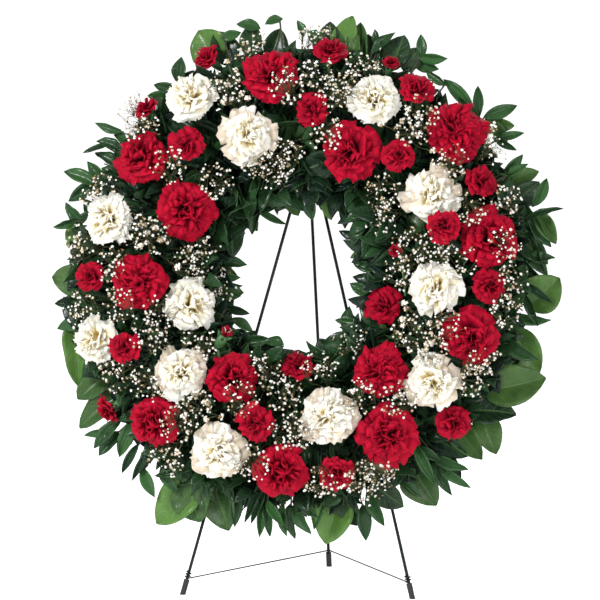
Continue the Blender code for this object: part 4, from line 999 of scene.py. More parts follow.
def model_petal(draw, layer, heading, rows, columns):
    """One petal of a bloom of radius 1 and height 1, as a sheet with the painted shade of each
    point, darker towards its base and in the valleys of its folds and lighter on their ridges. It
    rises from the heart, flares, and ends in a waved, folded and unevenly toothed rim."""
    _, rim, top, rise, width, ruffle, yaw, stray = layer
    rim *= draw.uniform(0.84, 1.10)
    top *= draw.uniform(0.95, 1.05)
    width *= draw.uniform(0.85, 1.12)
    yaw = math.radians(draw.uniform(-yaw, yaw))
    phases = [draw.uniform(0, 2 * math.pi) for _ in range(3)]
    waves = (draw.uniform(0.8, 1.4), draw.uniform(1.7, 2.5))
    teeth = [draw.uniform(-0.045, 0.035) for _ in range(columns)]
    root = Vector((draw.uniform(-stray, stray), draw.uniform(-stray, stray), 0))
    out = Vector((math.cos(heading), math.sin(heading), 0))
    across = turned(Vector((-out.y, out.x, 0)), out, yaw)
    low, middle, high = Vector((0.05, 0)), Vector((0.10 + 0.30 * rim, rise)), Vector((rim, top))
    shades_and_tints = []

    def shape(t, s):
        reach = s * (1 - 0.10 * t * t)
        if s == 1:
            reach += teeth[round((t + 1) / 2 * (columns - 1))]
        spot = low * (1 - reach) ** 2 + middle * 2 * reach * (1 - reach) + high * reach * reach
        slope = ((middle - low) * (1 - min(reach, 1)) + (high - middle) * reach).normalized()
        fold = math.sin(math.pi * waves[0] * t + phases[0]) * 0.65
        fold += math.sin(math.pi * waves[1] * t + phases[1]) * 0.45
        grow = s**1.4
        push = ruffle * grow * fold
        slide = ruffle * 0.55 * grow * math.cos(math.pi * waves[1] * t + phases[2])
        half = width * (0.22 + 0.78 * s**0.85)
        point = root + out * (spot.x - slope.y * push) + across * (half * t + slide)
        point.z = spot.y + slope.x * push - 0.05 * abs(t) * s * rim
        # Painted shade: darker towards the base, where the petals crowd, and in the valleys of the
        # folds, lighter towards the rim and on the ridges
        shades_and_tints.append(0.10 + 0.60 * s**1.3 + 0.24 * grow * fold)
        return point

    vertices, faces, _, places = pressed_sheet(columns, rows, shape, PETAL_THICKNESS)
    shades_and_tints = [shades_and_tints[i % len(shades_and_tints)] for i in range(len(vertices))]
    return vertices, faces, places, shades_and_tints, draw.random()


def head_patterns(seeds, layers, rows, columns):
    """The patterns of one kind of bloom, each with all its petals."""
    return [head_pattern(random.Random(seed), layers, rows, columns) for seed in seeds]


def head_pattern(draw, layers, rows, columns):
    """All petals of one pattern."""
    petals = []
    for layer in layers:
        count = layer[0]
        first = draw.uniform(0, 2 * math.pi)
        for k in range(count):
            heading = first + 2 * math.pi * (k + draw.uniform(-0.28, 0.28)) / count
            petals.append(model_petal(draw, layer, heading, rows, columns))
    return petals


def add_head(piece, bloom, petals, turn, kind=0):
    """Places a copy of a pattern's petals as a bloom's head. An older one has dull guard petals
    that spread wider than the rest."""
    side = square_to(bloom.axis, bloom.tangent)
    other = bloom.axis.cross(side)
    right, up = turned(side, other, turn), turned(other, -side, turn)
    for place_in_head, (vertices, faces, places, shades_and_tints, shade) in enumerate(petals):
        old = bloom.name in OLDER
        dull = old and place_in_head < DULL_PETALS and place_in_head % 4 != 1
        shade = DULL_SHADE if dull else shade * FRESH_SHADE
        spread = bloom.radius
        if old:
            spread *= OLD_SPREAD if place_in_head < GUARD_PETALS else OLD_GATHER
        points, depth = [], []
        for v, tone in zip(vertices, shades_and_tints):
            aside = (right * v.x + up * v.y) * spread
            points.append(bloom.base + aside + bloom.axis * v.z * bloom.height)
            # Painted shade towards the heart, which on the white blooms is also their yellow heart
            # tint
            heart = max(0.0, 1 - math.hypot(v.x, v.y) / HEART_REACH)
            depth.append(tone - HEART_SHADE_AND_TINT * heart)
        piece.add(points, faces, kind, places, depth, shade)


def add_bud(piece, bloom):
    """The closed bud: petal tips rolled in a cone that looks out of its calyx."""
    draw = random.Random(bloom.name)
    turn = draw.uniform(0, 6)
    add_head(piece, bloom, head_patterns(*ROLLED_PATTERN)[0], turn)
    add_head(piece, bloom, head_patterns(*STRIPED_PATTERN)[0], turn, 1)


def add_calyx(piece, bloom):
    """Calyx and stem: a ribbed cup that ends in points, bracts at its foot, and the stem."""
    length, wide = bloom.form["calyx"]
    if bloom.form is BUD_FORM:
        wide *= BUD_SWELL
    stem = bloom.form["stem"]
    axis = bloom.axis
    side = square_to(axis, bloom.tangent)
    other = axis.cross(side)
    top = bloom.base + axis * CALYX_RISE
    points = [top.lerp(bloom.calyx_end, share) for share, _ in CALYX_OUTLINE]
    piece.add(*tube(points, [wide * size for _, size in CALYX_OUTLINE], 10, side))
    for k in range(BRACTS):
        turn = 2 * math.pi * (k + 0.5) / BRACTS
        ray = turned(side, other, turn)
        low = top + ray * wide * 0.9
        tip = top + ray * wide * 1.55 + axis * length * 0.28
        path = [low - axis * CALYX_RISE, low.lerp(tip, 0.5), tip]
        piece.add(*tube(path, BRACT_RADII, 4, axis))
    bend = (bloom.calyx_end - bloom.root).length * 0.04
    path = curve(bloom.calyx_end + axis * 0.002, bloom.root, side * bend, 5)
    piece.add(*tube(path, [stem * 1.2, stem * 1.1, stem, stem, stem, stem], 8, side))


def turn_heads(blooms):
    """Turns the heads that the photograph shows from another side than their solids."""
    for bloom in blooms:
        if bloom.form is BUD_FORM:
            bloom.base += UP * BUD_LIFT
            bloom.radius *= BUD_SWELL
            bloom.height *= BUD_STRETCH
        if bloom.name in FACING:
            bloom.turn_to(bloom.tilted(FACING[bloom.name]))
        if bloom.name in AXES:
            bloom.turn_to(Vector(AXES[bloom.name]).normalized())


def dress_blooms(blooms):
    """A petal piece for each bloom node, and a piece for its calyx and stem."""
    large, mini = head_patterns(*LARGE_PATTERNS), head_patterns(*MINI_PATTERNS)
    owners = {}
    for bloom in blooms:
        owners.setdefault(FORKED.get(bloom.name, bloom.name), []).append(bloom)
    draw = random.Random(5)
    for owner, members in owners.items():
        white = owner.startswith("white")
        petals = Piece("petals_" + owner, [WHITE_PETAL] if white else [RED_PETAL, WHITE_PETAL])
        stems = Piece("calyx_" + owner, [CALYX])
        for bloom in members:
            if bloom.form is BUD_FORM:
                add_bud(petals, bloom)
            else:
                patterns = large if bloom.form is LARGE_FORM else mini
                add_head(petals, bloom, draw.choice(patterns), draw.uniform(0, 2 * math.pi))
            add_calyx(stems, bloom)
        petals.build("stand", "white_petals" if white else "red_petals", ["carnation_" + owner])
        stems.build("stand", "greens")


# What leaves and sprays keep clear of


def hook_shape(side):
    """The path of a wreath hook of the easel."""
    radius = RING_RADIUS + FOAM_HALF_WIDTH + TRAY_WALL + 2 * SEAT_GAP + WIRE
    slope, meet = LEG_SLOPE, LEGS_MEET_V
    a, b, c = 1 + slope**2, -2 * slope**2 * meet, (slope * meet) ** 2 - radius**2
    v = (-b - math.sqrt(b * b - 4 * a * c)) / (2 * a)
    foot = Vector((side * slope * (meet - v), v, CROWN.z))
    inward = -outward(foot)
    corner = foot + Vector((0, 0, HOOK_REACH - CROWN.z))
    bend = [corner - Vector((0, 0, 2 * WIRE)), corner + inward * WIRE * 0.6]
    return [foot, *bend, corner + inward * HOOK_TURN]


class Obstacles:
    """Heads as cones under a drum, stems and wires as round rods, and florets as balls."""

    def __init__(self, blooms):
        self.heads = [(b.base, b.axis, b.radius, b.height) for b in blooms]
        self.rods = []
        for bloom in blooms:
            wide = bloom.form["calyx"][1]
            self.rods.append((bloom.base, bloom.calyx_end, wide))
            self.rods.append((bloom.calyx_end, bloom.root, bloom.form["stem"] * 1.25))
        for side in (-1, 1):
            hook = hook_shape(side)
            self.rods += [(a, b, WIRE) for a, b in zip(hook, hook[1:])]
        self.rods.append((CROWN, CROWN, EYE_RADIUS + WIRE + 0.001))

    def take_heads(self, blooms):
        """The heads anew once they are turned, the bud's with its calyx."""
        self.heads = []
        for bloom in blooms:
            foot = bloom.calyx_end if bloom.form is BUD_FORM else bloom.base
            self.heads.append((foot, bloom.axis, bloom.radius, bloom.height))

    def in_head(self, point, room):
        """True if a ball of that radius round the point touches a head."""
        for base, axis, radius, height in self.heads:
            offset = point - base
            if offset.length > radius + height + room:
                continue
            along = offset.dot(axis)
            if not -room < along < height * HEAD_TOP + room:
                continue
            out = (offset - axis * along).length
            rim = height * HEAD_RIM
            share = min(1.0, HEAD_THROAT + (1 - HEAD_THROAT) * max(along, 0) / rim)
            wide = radius * share + room * 1.2
            if out < wide:
                return True
        return False

    def in_ring(self, point, room):
        """True if a ball of that radius round the point touches the tray or the foam, or
        reaches behind the tray."""
        offset = math.hypot(point.x, point.y) - RING_RADIUS
        wall = FOAM_HALF_WIDTH + TRAY_WALL + SEAT_GAP
        if abs(offset) < wall + room and point.z < TRAY_HEIGHT + room:
            return True
        if abs(offset) < FOAM_HALF_WIDTH + room and point.z < FOAM_TOP + room:
            away = math.hypot(offset, point.z - CORE_HEIGHT)
            if away < foam_distance(math.atan2(offset, point.z - CORE_HEIGHT)) + room:
                return True
        return point.z < 0.002 + room

    def by_rod(self, point, room):
        """True if a ball of that radius round the point touches a stem or a wire."""
        for a, b, radius in self.rods:
            side = b - a
            length = side.length_squared
            share = max(0.0, min(1.0, (point - a).dot(side) / length)) if length else 0.0
            if (a + side * share - point).length < radius + room:
                return True
        return False

    def veils(self, point):
        """True if a point lies before a head, as seen from the front."""
        for base, axis, radius, height in self.heads:
            offset = point - base - axis * height * VEIL_MIDDLE
            before = offset.dot(FRONT)
            if before > 0 and (offset - FRONT * before).length < radius * VEIL_SHARE:
                return True
        return False

    def blocked(self, point, room):
        """True if a ball of that radius round the point touches anything."""
        return self.in_head(point, room) or self.by_rod(point, room) or self.in_ring(point, room)

    def rod_blocked(self, a, b, radius):
        """True if a round rod from a to b touches anything."""
        steps = max(2, int((b - a).length / ROD_STEP))
        return any(self.blocked(point, radius) for point in samples(a, b, steps))


# Baby's breath


def model_floret(seed):
    """A small double floret of radius 1 on the Z axis: a ball whose rings are drawn out into a
    star of petals round a raised heart."""
    draw = random.Random(seed)
    bpy.ops.object.select_all(action="DESELECT")
    bpy.ops.mesh.primitive_uv_sphere_add(segments=10, ring_count=4, radius=1)
    ball = bpy.context.object
    for vertex in ball.data.vertices:
        x, y, z = vertex.co
        turn = round(math.atan2(y, x) / (math.pi / 5))
        out = math.hypot(x, y)
        petal = turn % 2 == 0
        if out < 0.1:
            vertex.co.z = 0.45 if z > 0 else -0.55
        elif z > 0.3:
            size, rise = (0.75, 0.75) if petal else (0.35, 0.25)
            vertex.co = Vector((x * size, y * size, rise))
        elif z > -0.3:
            size = draw.uniform(0.85, 1.1) if petal else 0.55
            vertex.co = Vector((x * size, y * size, 0.25 if petal else 0.0))
        else:
            vertex.co = Vector((x * 0.6, y * 0.6, -0.30))
    return take_mesh(ball)


def add_floret(piece, patterns, draw, middle, axis, radius):
    """Places a copy of a floret. Those of the darkest shades are small and unopened."""
    vertices, faces = draw.choice(patterns)
    side = sideways(axis)
    other = axis.cross(side)
    turn = draw.uniform(0, 6)
    right = turned(side, other, turn)
    up = turned(other, -side, turn)
    shade = draw.random()
    if shade < UNOPENED:
        radius *= UNOPENED_SIZE
    points = [middle + (right * v.x + up * v.y + axis * v.z) * radius for v in vertices]
    piece.add(points, faces, shade=shade)


def breath_spray(name, pixel, obstacles):
    """The spray that stands in the foam: its rods as (start, end, radius), and its florets as
    (middle, axis, radius)."""
    draw = random.Random(name)
    x, y, spread = pixel
    top = place(x, y, BREATH_REACH)
    core, direction, surface, tangent = footing(top)
    root = core + direction * (surface - STEM_DEPTH)
    fork = core + direction * (surface + 0.022)
    rods, florets = [(root, fork, BREATH_STEM)], []
    other = direction.cross(tangent)
    for branch in range(BREATH_BRANCHES):
        for _ in range(60):
            angle = 2 * math.pi * (branch + draw.uniform(-0.4, 0.4)) / BREATH_BRANCHES
            reach = spread * METRES_PER_PIXEL * math.sqrt(draw.uniform(0.05, 1.0))
            tip = top + turned(tangent, other, angle) * reach
            tip += direction * draw.uniform(-0.006, 0.006)
            if obstacles.rod_blocked(fork, tip, BREATH_TWIG + CLEAR):
                continue
            if obstacles.blocked(tip, FLORET_RADIUS + CLEAR):
                continue
            draw.uniform(0, 3)  # keeps the order of draws that the solids have
            rods.append((fork, tip, BREATH_TWIG))
            florets.append((tip, (tip - fork).normalized(), FLORET_RADIUS))
            mid = fork.lerp(tip, draw.uniform(0.55, 0.75))
            aside = (tangent * draw.uniform(-1, 1) + other * draw.uniform(-1, 1)).normalized()
            end = mid + (aside * 0.8 + direction * 0.7) * draw.uniform(0.010, 0.015)
            if not obstacles.rod_blocked(mid, end, BREATH_TWIG + CLEAR):
                if not obstacles.blocked(end, FLORET_RADIUS + CLEAR):
                    rods.append((mid, end, BREATH_TWIG))
                    florets.append((end, (end - mid).normalized(), FLORET_RADIUS * 0.9))
            break
    return rods, florets


def add_cluster(piece, patterns, draw, pixel, obstacles):
    """One cloud of the photograph: thin stalks that fan from below, with a floret on each."""
    top = place(pixel[0], pixel[1], BREATH_REACH)
    core, direction, surface, tangent = footing(top)
    other = direction.cross(tangent)
    foot = core + direction * (surface + 0.004)
    fork = foot.lerp(top, 0.45)
    trunk = curve(foot - direction * 0.008, fork, tangent * draw.uniform(-0.004, 0.004), 3)
    piece.add(*tube(trunk, [TRUNK] * 4, 4, tangent), 1)

    def spot(reach, low, high):
        angle = draw.uniform(0, 2 * math.pi)
        away = reach * METRES_PER_PIXEL * math.sqrt(draw.random())
        return top + turned(tangent, other, angle) * away + direction * draw.uniform(low, high)

    forks = []
    for _ in range(CLUSTER_FORKS):
        end = spot(CLUSTER_SPREAD * 0.85, -0.022, -0.008)
        if not obstacles.in_head(end, 0.0):
            forks.append(end)
            twig = curve(fork, end, tangent * draw.uniform(-0.004, 0.004), 3)
            piece.add(*tube(twig, TWIG_RADII, 3, tangent), 1)
    for _ in range(CLUSTER_FLORETS):
        tip = spot(CLUSTER_SPREAD, -0.014, 0.009)
        for _ in range(6):
            if not obstacles.in_head(tip, 0.002):
                break
            tip += direction * 0.006
        if obstacles.in_head(tip, 0.001):
            continue
        start = min(forks + [fork], key=lambda end: (end - tip).length)
        stalk = curve(start, tip, tangent * draw.uniform(-0.002, 0.002), 2)
        piece.add(*tube(stalk, STALK_RADII, 3, tangent), 1)
        size = draw.uniform(*CLUSTER_SIZES)
        axis = (tip - start + direction * 0.010).normalized()
        add_floret(piece, patterns, draw, tip, axis, size)


def dress_breath(sprays, obstacles):
    """The fine florets and stalks, one piece for each spray, with the clusters nearest to it."""
    patterns = [model_floret(seed) for seed in range(4)]
    pieces = {name: Piece("breath_spray_" + name[-2:], [FLORET, BREATH_GREEN]) for name in BREATH}
    for name, (rods, florets) in sprays.items():
        draw = random.Random(name + "_fine")
        for a, b, radius in rods:
            bow = sideways(b - a) * (b - a).length * 0.03
            radii = [radius * share for share in (1, 0.9, 0.8, 0.7, 0.6)]
            pieces[name].add(*tube(curve(a, b, bow, 4), radii, 5, sideways(b - a)), 1)
        for middle, axis, radius in florets:
            side = sideways(axis)
            other = axis.cross(side)
            for k in range(SPRAY_FLORETS):
                turn = 2.4 * k
                away = radius * 0.85 * math.sqrt(k / SPRAY_FLORETS)
                spot = middle + turned(side, other, turn) * away - axis * radius * 0.2 * (k % 3)
                path = [middle - axis * radius * 1.6, spot]
                pieces[name].add(*tube(path, (0.0004, 0.0003), 3, side), 1)
                facing = (spot - middle + axis * radius).normalized()
                size = draw.uniform(*SPRAY_SIZES)
                add_floret(pieces[name], patterns, draw, spot, facing, size)
    for pixel in CLUSTERS:
        nearest = min(BREATH, key=lambda name: math.dist(BREATH[name][:2], pixel))
        draw = random.Random(pixel[0] * 1000 + pixel[1])
        add_cluster(pieces[nearest], patterns, draw, pixel, obstacles)
    for name, piece in pieces.items():
        piece.build("stand", "breath", [name])


# Greens


class Sector:
    """The greens of one eighth of the ring: its twigs and leaves, by the same rule as the
    solids, then the finer foliage that fills between them."""

    def __init__(self, index, obstacles):
        self.index = index
        self.middle = 2 * math.pi * index / SECTORS
        self.half = math.pi / SECTORS
        self.obstacles = obstacles
        self.draw = random.Random(SEED * 100 + index)
        self.leaves = []
        self.twigs = []
        self.taken = []

    def point(self, angle, offset, height):
        """The point at an angle round the ring, an offset from its radius and a height."""
        radius = RING_RADIUS + offset
        return Vector((radius * math.cos(angle), radius * math.sin(angle), height))

    def aside(self, point):
        """A point's angle round the ring from the sector's middle."""
        angle = math.atan2(point.y, point.x) - self.middle
        return (angle + math.pi) % (2 * math.pi) - math.pi

    def outside(self, point, room):
        """True if the point leaves the sector's wedge."""
        radius = math.hypot(point.x, point.y)
        return abs(self.aside(point)) > self.half - SECTOR_GAP - room / radius

    def skeleton(self):
        span = self.half - ARC_END_GAP
        for offset in (ARC_OFFSET, -ARC_OFFSET):
            steps = 4 if offset > 0 else 3
            angles = [self.middle - span + 2 * span * i / steps for i in range(steps + 1)]
            points = [self.point(angle, offset, ARC_HEIGHT) for angle in angles]
            self.twigs.append((points, TWIG))
        self.bridge_angle, lowest = None, None
        for step in range(-BRIDGE_TRIES, BRIDGE_TRIES + 1):
            angle = self.middle + self.half * BRIDGE_REACH * step / BRIDGE_TRIES
            if not self.bridge_blocked(angle) and (lowest is None or abs(step) < lowest):
                self.bridge_angle, lowest = angle, abs(step)
        if self.bridge_angle is None:
            self.bridge_angle = self.middle
        self.tangent = round_ring(self.bridge_angle)[1]
        self.twigs.append((self.bridge(self.bridge_angle), TWIG * 0.9))
        top = self.point(self.bridge_angle, 0, FOAM_TOP + 0.003)
        self.twigs.append(([top, self.point(self.bridge_angle, 0, FOAM_TOP - 0.014)], 0.0014))

    def bridge(self, angle):
        """The twig's path over the foam, from the outer branch to the inner one."""
        points = [self.point(angle, ARC_OFFSET, ARC_HEIGHT)]
        for offset, height in foam_profile()[1:-1]:
            turn = math.atan2(offset, height - CORE_HEIGHT)
            away = foam_distance(turn) + TWIG + 0.002
            rise = CORE_HEIGHT + away * math.cos(turn)
            points.append(self.point(angle, away * math.sin(turn), rise))
        points.append(self.point(angle, -ARC_OFFSET, ARC_HEIGHT))
        return points

    def bridge_blocked(self, angle):
        """True if the twig over the foam would touch a stem or a wire."""
        path = self.bridge(angle)
        for a, b in zip(path, path[1:]):
            steps = max(2, int((b - a).length / BRIDGE_STEP))
            points = samples(a, b, steps)
            if any(self.obstacles.by_rod(point, TWIG + CLEAR) for point in points):
                return True
        return False

    def leaf_points(self, base, along, up, length, width, droop, fold):
        """Points spread over a leaf's blade."""
        side = along.cross(up).normalized()
        up = side.cross(along).normalized()
        points = []
        for share in LEAF_SHARES:
            for out in LEAF_OUTS:
                reach = out * min(1.0, 4.2 * share * (1.02 - share))
                sag = -droop * length * share * share + fold * abs(reach) * width
                points.append(base + along * share * length + side * reach * width + up * sag)
        return points

    def leaf_fits(self, *leaf):
        """True if a leaf stays in the sector, off every obstacle and off the other leaves."""
        points = self.leaf_points(*leaf)
        for point in points:
            if self.outside(point, CLEAR) or self.obstacles.blocked(point, CLEAR):
                return False
        room = max(LEAF_ROOM, leaf[4] * 0.13)
        return all((a - b).length > room for a in points[len(LEAF_OUTS):] for b in self.taken)

    def add_leaf(self, *leaf):
        """Keeps a leaf: where it starts, the way it points, the way its face looks, its length,
        width, droop and fold. Its first row of points may touch other leaves."""
        self.taken += self.leaf_points(*leaf)[len(LEAF_OUTS):]
        self.leaves.append(leaf)

    def twig_fits(self, a, b):
        """True if a thin twig stays in the sector and off every obstacle."""
        for point in samples(a, b, TWIG_STEPS, 1):
            room = THIN_TWIG + CLEAR * 0.6
            if self.outside(point, CLEAR) or self.obstacles.blocked(point, room):
                return False
        return True

    def heading(self, angle, outward_sign, yaw_limit, rises):
        """A direction for a leaf or sprig: out from the ring or into its hole, turned aside and
        raised by seeded draws, in degrees."""
        yaw = self.draw.uniform(-yaw_limit, yaw_limit)
        return spoke(angle, outward_sign, yaw, self.draw.uniform(*rises))

    def arc_angle(self, i, count):
        """The i-th of count places along the sector's branches, shifted by a seeded draw."""
        span = self.half - ARC_END_GAP
        share = (i + 0.5 + self.draw.uniform(-0.35, 0.35)) / count
        return self.middle - span + 2 * span * share

    def collar_leaves(self, count, offset, outward_sign, length, width, rises):
        """Leaves of one size on the outer or the inner branch."""
        for i in range(count):
            for _ in range(TRIES):
                angle = self.arc_angle(i, count)
                base = self.point(angle, offset, ARC_HEIGHT)
                along = self.heading(angle, outward_sign, 32, rises)
                size = self.draw.uniform(0.88, 1.08)
                droop = self.draw.uniform(-0.05, 0.05)
                leaf = (base, along, Vector((0, 0, 1)), length * size, width * size, droop, 0.15)
                if self.leaf_fits(*leaf):
                    self.add_leaf(*leaf)
                    break

    def collar_sprig(self, offset, outward_sign, length, size, rises):
        for _ in range(TRIES):
            angle = self.arc_angle(0, 1)
            base = self.point(angle, offset, ARC_HEIGHT)
            along = self.heading(angle, outward_sign, 30, rises)
            up = (Vector((0, 0, 1)) - outward(base) * outward_sign * 0.4).normalized()
            if self.sprig(base, along, up, length * self.draw.uniform(0.85, 1.1), 2, size):
                break

    def sprig(self, base, along, up, length, leaflets, size):
        """A twig with a leaflet on its tip and others in turn along its sides."""
        tip = base + along * length
        if not self.twig_fits(base, tip):
            return False
        side = along.cross(up).normalized()
        plan = [(tip - along * 0.002, along)]
        for k in range(leaflets):
            share = 0.28 + 0.62 * k / leaflets
            hand = 1 if k % 2 else -1
            open_angle = math.radians(self.draw.uniform(42, 60))
            direction = turned(along, side * hand, open_angle)
            plan.append((base + along * length * share, direction))
        kept = [(p, d) for p, d in plan if self.leaf_fits(p, d, up, size, size * 0.42, 0.1, 0.2)]
        if len(kept) < 2:
            return False
        self.twigs.append(([base, tip], THIN_TWIG))
        for point, direction in kept:
            self.add_leaf(point, direction, up, size, size * 0.42, 0.1, 0.2)
        return True

    def face_leaves(self, count, length, width):
        """Leaves from the twig over the foam, which rise between the blooms."""
        path = self.bridge(self.bridge_angle)[1:-1]
        for i in range(count):
            for _ in range(TRIES):
                base = path[0].lerp(path[-1], (i + 0.5) / count)
                base = min(path, key=lambda point: (point - base).length)
                normal = (base - core_of(base)).normalized()
                hand = self.draw.choice((-1, 1))
                rise = math.radians(self.draw.uniform(3, 50))
                aside = outward(base) * self.draw.uniform(-0.5, 0.5)
                along = turned((self.tangent * hand + aside).normalized(), normal, rise)
                up = normal - along * normal.dot(along)
                size = self.draw.uniform(0.7, 1.1)
                along.normalize()
                up.normalize()
                leaf = (base, along, up, length * size, width * size, 0.1, 0.2)
                if self.leaf_fits(*leaf):
                    self.add_leaf(*leaf)
                    break

    def grow(self):
        """The sector's twigs and leaves: how many, from which branch and to which side, their
        length and width, and how far they rise in degrees."""
        self.skeleton()
        self.collar_leaves(3, ARC_OFFSET, 1, 0.082, 0.052, (-4, 16))
        self.collar_leaves(2, -ARC_OFFSET, -1, 0.070, 0.036, (-4, 20))
        self.collar_sprig(ARC_OFFSET, 1, 0.048, 0.038, (14, 50))
        self.collar_leaves(2, ARC_OFFSET, 1, 0.062, 0.030, (20, 62))
        self.collar_leaves(1, -ARC_OFFSET, -1, 0.052, 0.026, (14, 60))
        self.face_leaves(3, 0.060, 0.034)


def model_leaf(seed, columns, rows, belly, blunt):
    """A leaf of length 1 along Y and width 1 along X, facing Z: folded along its midrib, with a
    waved edge and a tip that curls. belly moves its widest place, and blunt rounds its ends."""
    draw = random.Random(seed)
    phase, waves = draw.uniform(0, 6), draw.uniform(1.2, 2.6)
    curl, fold = draw.uniform(0.02, 0.20), draw.uniform(0.20, 0.50)
    skew = draw.uniform(-0.06, 0.06)

    def shape(t, s):
        half = 0.5 * max(math.sin(math.pi * s**belly) ** blunt, 0.03)
        lift = fold * abs(t) * half - curl * s * s
        lift += 0.035 * t * t * math.sin(2 * math.pi * waves * s + phase + (1.6 if t > 0 else 0))
        return Vector((half * t + skew * math.sin(math.pi * s), s, lift))

    return pressed_sheet(columns, rows, shape, LEAF_THICKNESS)


def leaf_models():
    """The patterns of the broad leaves, of the small ones and of the fine ones of the sprigs."""
    models = {}
    for kind, (seed, *form) in LEAF_MODELS.items():
        models[kind] = [model_leaf(seed + i, *form) for i in range(MODELS_OF_A_KIND)]
    return models


def lay_leaf(piece, draw, models, leaf, broad, greens=(0.0, 1.0)):
    """Lays a copy of one of the patterns as a leaf of its own size, droop and green."""
    base, along, up, length, width, droop = leaf[:6]
    side = along.cross(up).normalized()
    up = side.cross(along).normalized()
    vertices, faces, backs, places = draw.choice(models)
    points = []
    for v in vertices:
        lift = up * (v.z - droop * v.y * v.y) * length
        points.append(base + along * v.y * length + side * v.x * width + lift)
    front = 0 if broad else 1
    kinds = [2 if back else front for back in backs]
    piece.add(points, faces, kinds, places, 0.5, draw.uniform(*greens))


def in_hole(point):
    """True if a point reaches into the clear middle of the wreath, a rounded oblong that lies a
    little left of and below the ring's centre."""
    across = abs(point.x - HOLE_MIDDLE[0]) / HOLE_HALF_WIDTH
    upward = abs(point.y - HOLE_MIDDLE[1]) / HOLE_HALF_HEIGHT
    return across**3 + upward**3 < 1


def beyond(point):
    """True if a point lies so far out that only the leaves which the photograph shows reach it."""
    angle = math.atan2(point.y, point.x)
    reach = FILL_REACH + FILL_REACH_BELOW * max(0.0, math.cos(angle - BELOW))
    return math.hypot(point.x, point.y) > reach


def add_sprig(piece, draw, models, obstacles, base, along, up, length, leaves, size):
    """A leafy sprig: a bowed twig with leaves in turn on its two sides and one on its tip.
    Leaves that would run into a bloom, the ring or the clear middle are left off."""
    side = along.cross(up).normalized()
    up = side.cross(along).normalized()
    bow = up * length * draw.uniform(-0.06, 0.10)
    path = curve(base, base + along * length, bow, 5)
    while len(path) > 2:
        end = path[-1]
        if not (obstacles.in_head(end, 0.001) or in_hole(end) or beyond(end)):
            break
        path.pop()
    if len(path) < 3:
        return
    piece.add(*tube(path, [0.0012 - 0.0001 * i for i in range(len(path))], 4, up), 3)
    last = len(path) - 1
    for k in range(leaves + 1):
        share = 0.12 + 0.88 * k / leaves
        where = share * last
        i = min(int(where), last - 1)
        spot = path[i].lerp(path[i + 1], where - i)
        open_angle = math.radians(draw.uniform(38, 62)) if k < leaves else draw.uniform(-0.2, 0.2)
        hand = 1 if k % 2 else -1
        roll = draw.uniform(-0.35, 0.45)
        direction = turned(along, side * hand, open_angle) + up * draw.uniform(-0.10, 0.30)
        direction.normalize()
        face = (up + side * hand * roll).normalized()
        long = size * draw.uniform(0.8, 1.15)
        tip = spot + direction * long
        middle = spot + direction * long * 0.55
        if obstacles.in_head(tip, 0.0005) or obstacles.in_head(middle, 0.0005) or in_hole(tip):
            continue
        if obstacles.in_ring(tip, 0.0) or obstacles.in_ring(middle, 0.0):
            continue
        if beyond(tip) or obstacles.veils(tip) or obstacles.veils(middle):
            continue
        width = long * draw.uniform(0.38, 0.50)
        leaf = (spot, direction, face, long, width, 0.06)
        lay_leaf(piece, draw, models["fine"], leaf, False, SHADED_INNER_GREENS)


def on_foam(sector, angle, turn, sink):
    """A point on the foam's surface, turned from its front towards the outside, and the surface's
    direction there."""
    away = foam_distance(turn) - sink
    point = sector.point(angle, away * math.sin(turn), CORE_HEIGHT + away * math.cos(turn))
    return point, turned(UP, outward(point), turn)


def add_shown_leaves(piece, sector, models, obstacles):
    """The single leaves that the photograph shows, each on a stalk from the foam."""
    for tail_x, tail_y, tip_x, tip_y, pixels, pattern, height in SHOWN_LEAVES:
        tail = place_flat(tail_x, tail_y, height / 1000)
        angle = math.atan2(tail.y, tail.x)
        if not -sector.half <= sector.aside(tail) < sector.half:
            continue
        draw = random.Random(tail_x * 1000 + tail_y)
        while obstacles.in_ring(tail, 0.001):
            height += 3
            tail = place_flat(tail_x, tail_y, height / 1000)
        tip = place_flat(tip_x, tip_y, height / 1000 + draw.uniform(-0.003, 0.008))
        along = (tip - tail).normalized()
        face = UP + outward(tail) * draw.uniform(-0.25, 0.10)
        face = (face + sideways(along) * draw.uniform(-0.45, 0.45)).normalized()
        model, broad, darkest, lightest = LEAF_PATTERNS[pattern]
        leaf = (tail, along, face, (tip - tail).length, pixels * METRES_PER_PIXEL, 0.04)
        lay_leaf(piece, draw, models[model], leaf, broad, (darkest, lightest))
        turn = 58 if math.hypot(tail.x, tail.y) > RING_RADIUS else -58
        root, _ = on_foam(sector, angle, math.radians(turn), 0.010)
        piece.add(*tube(curve(root, tail + along * 0.004, UP * 0.004, 3), [0.0012] * 4, 5, UP), 3)


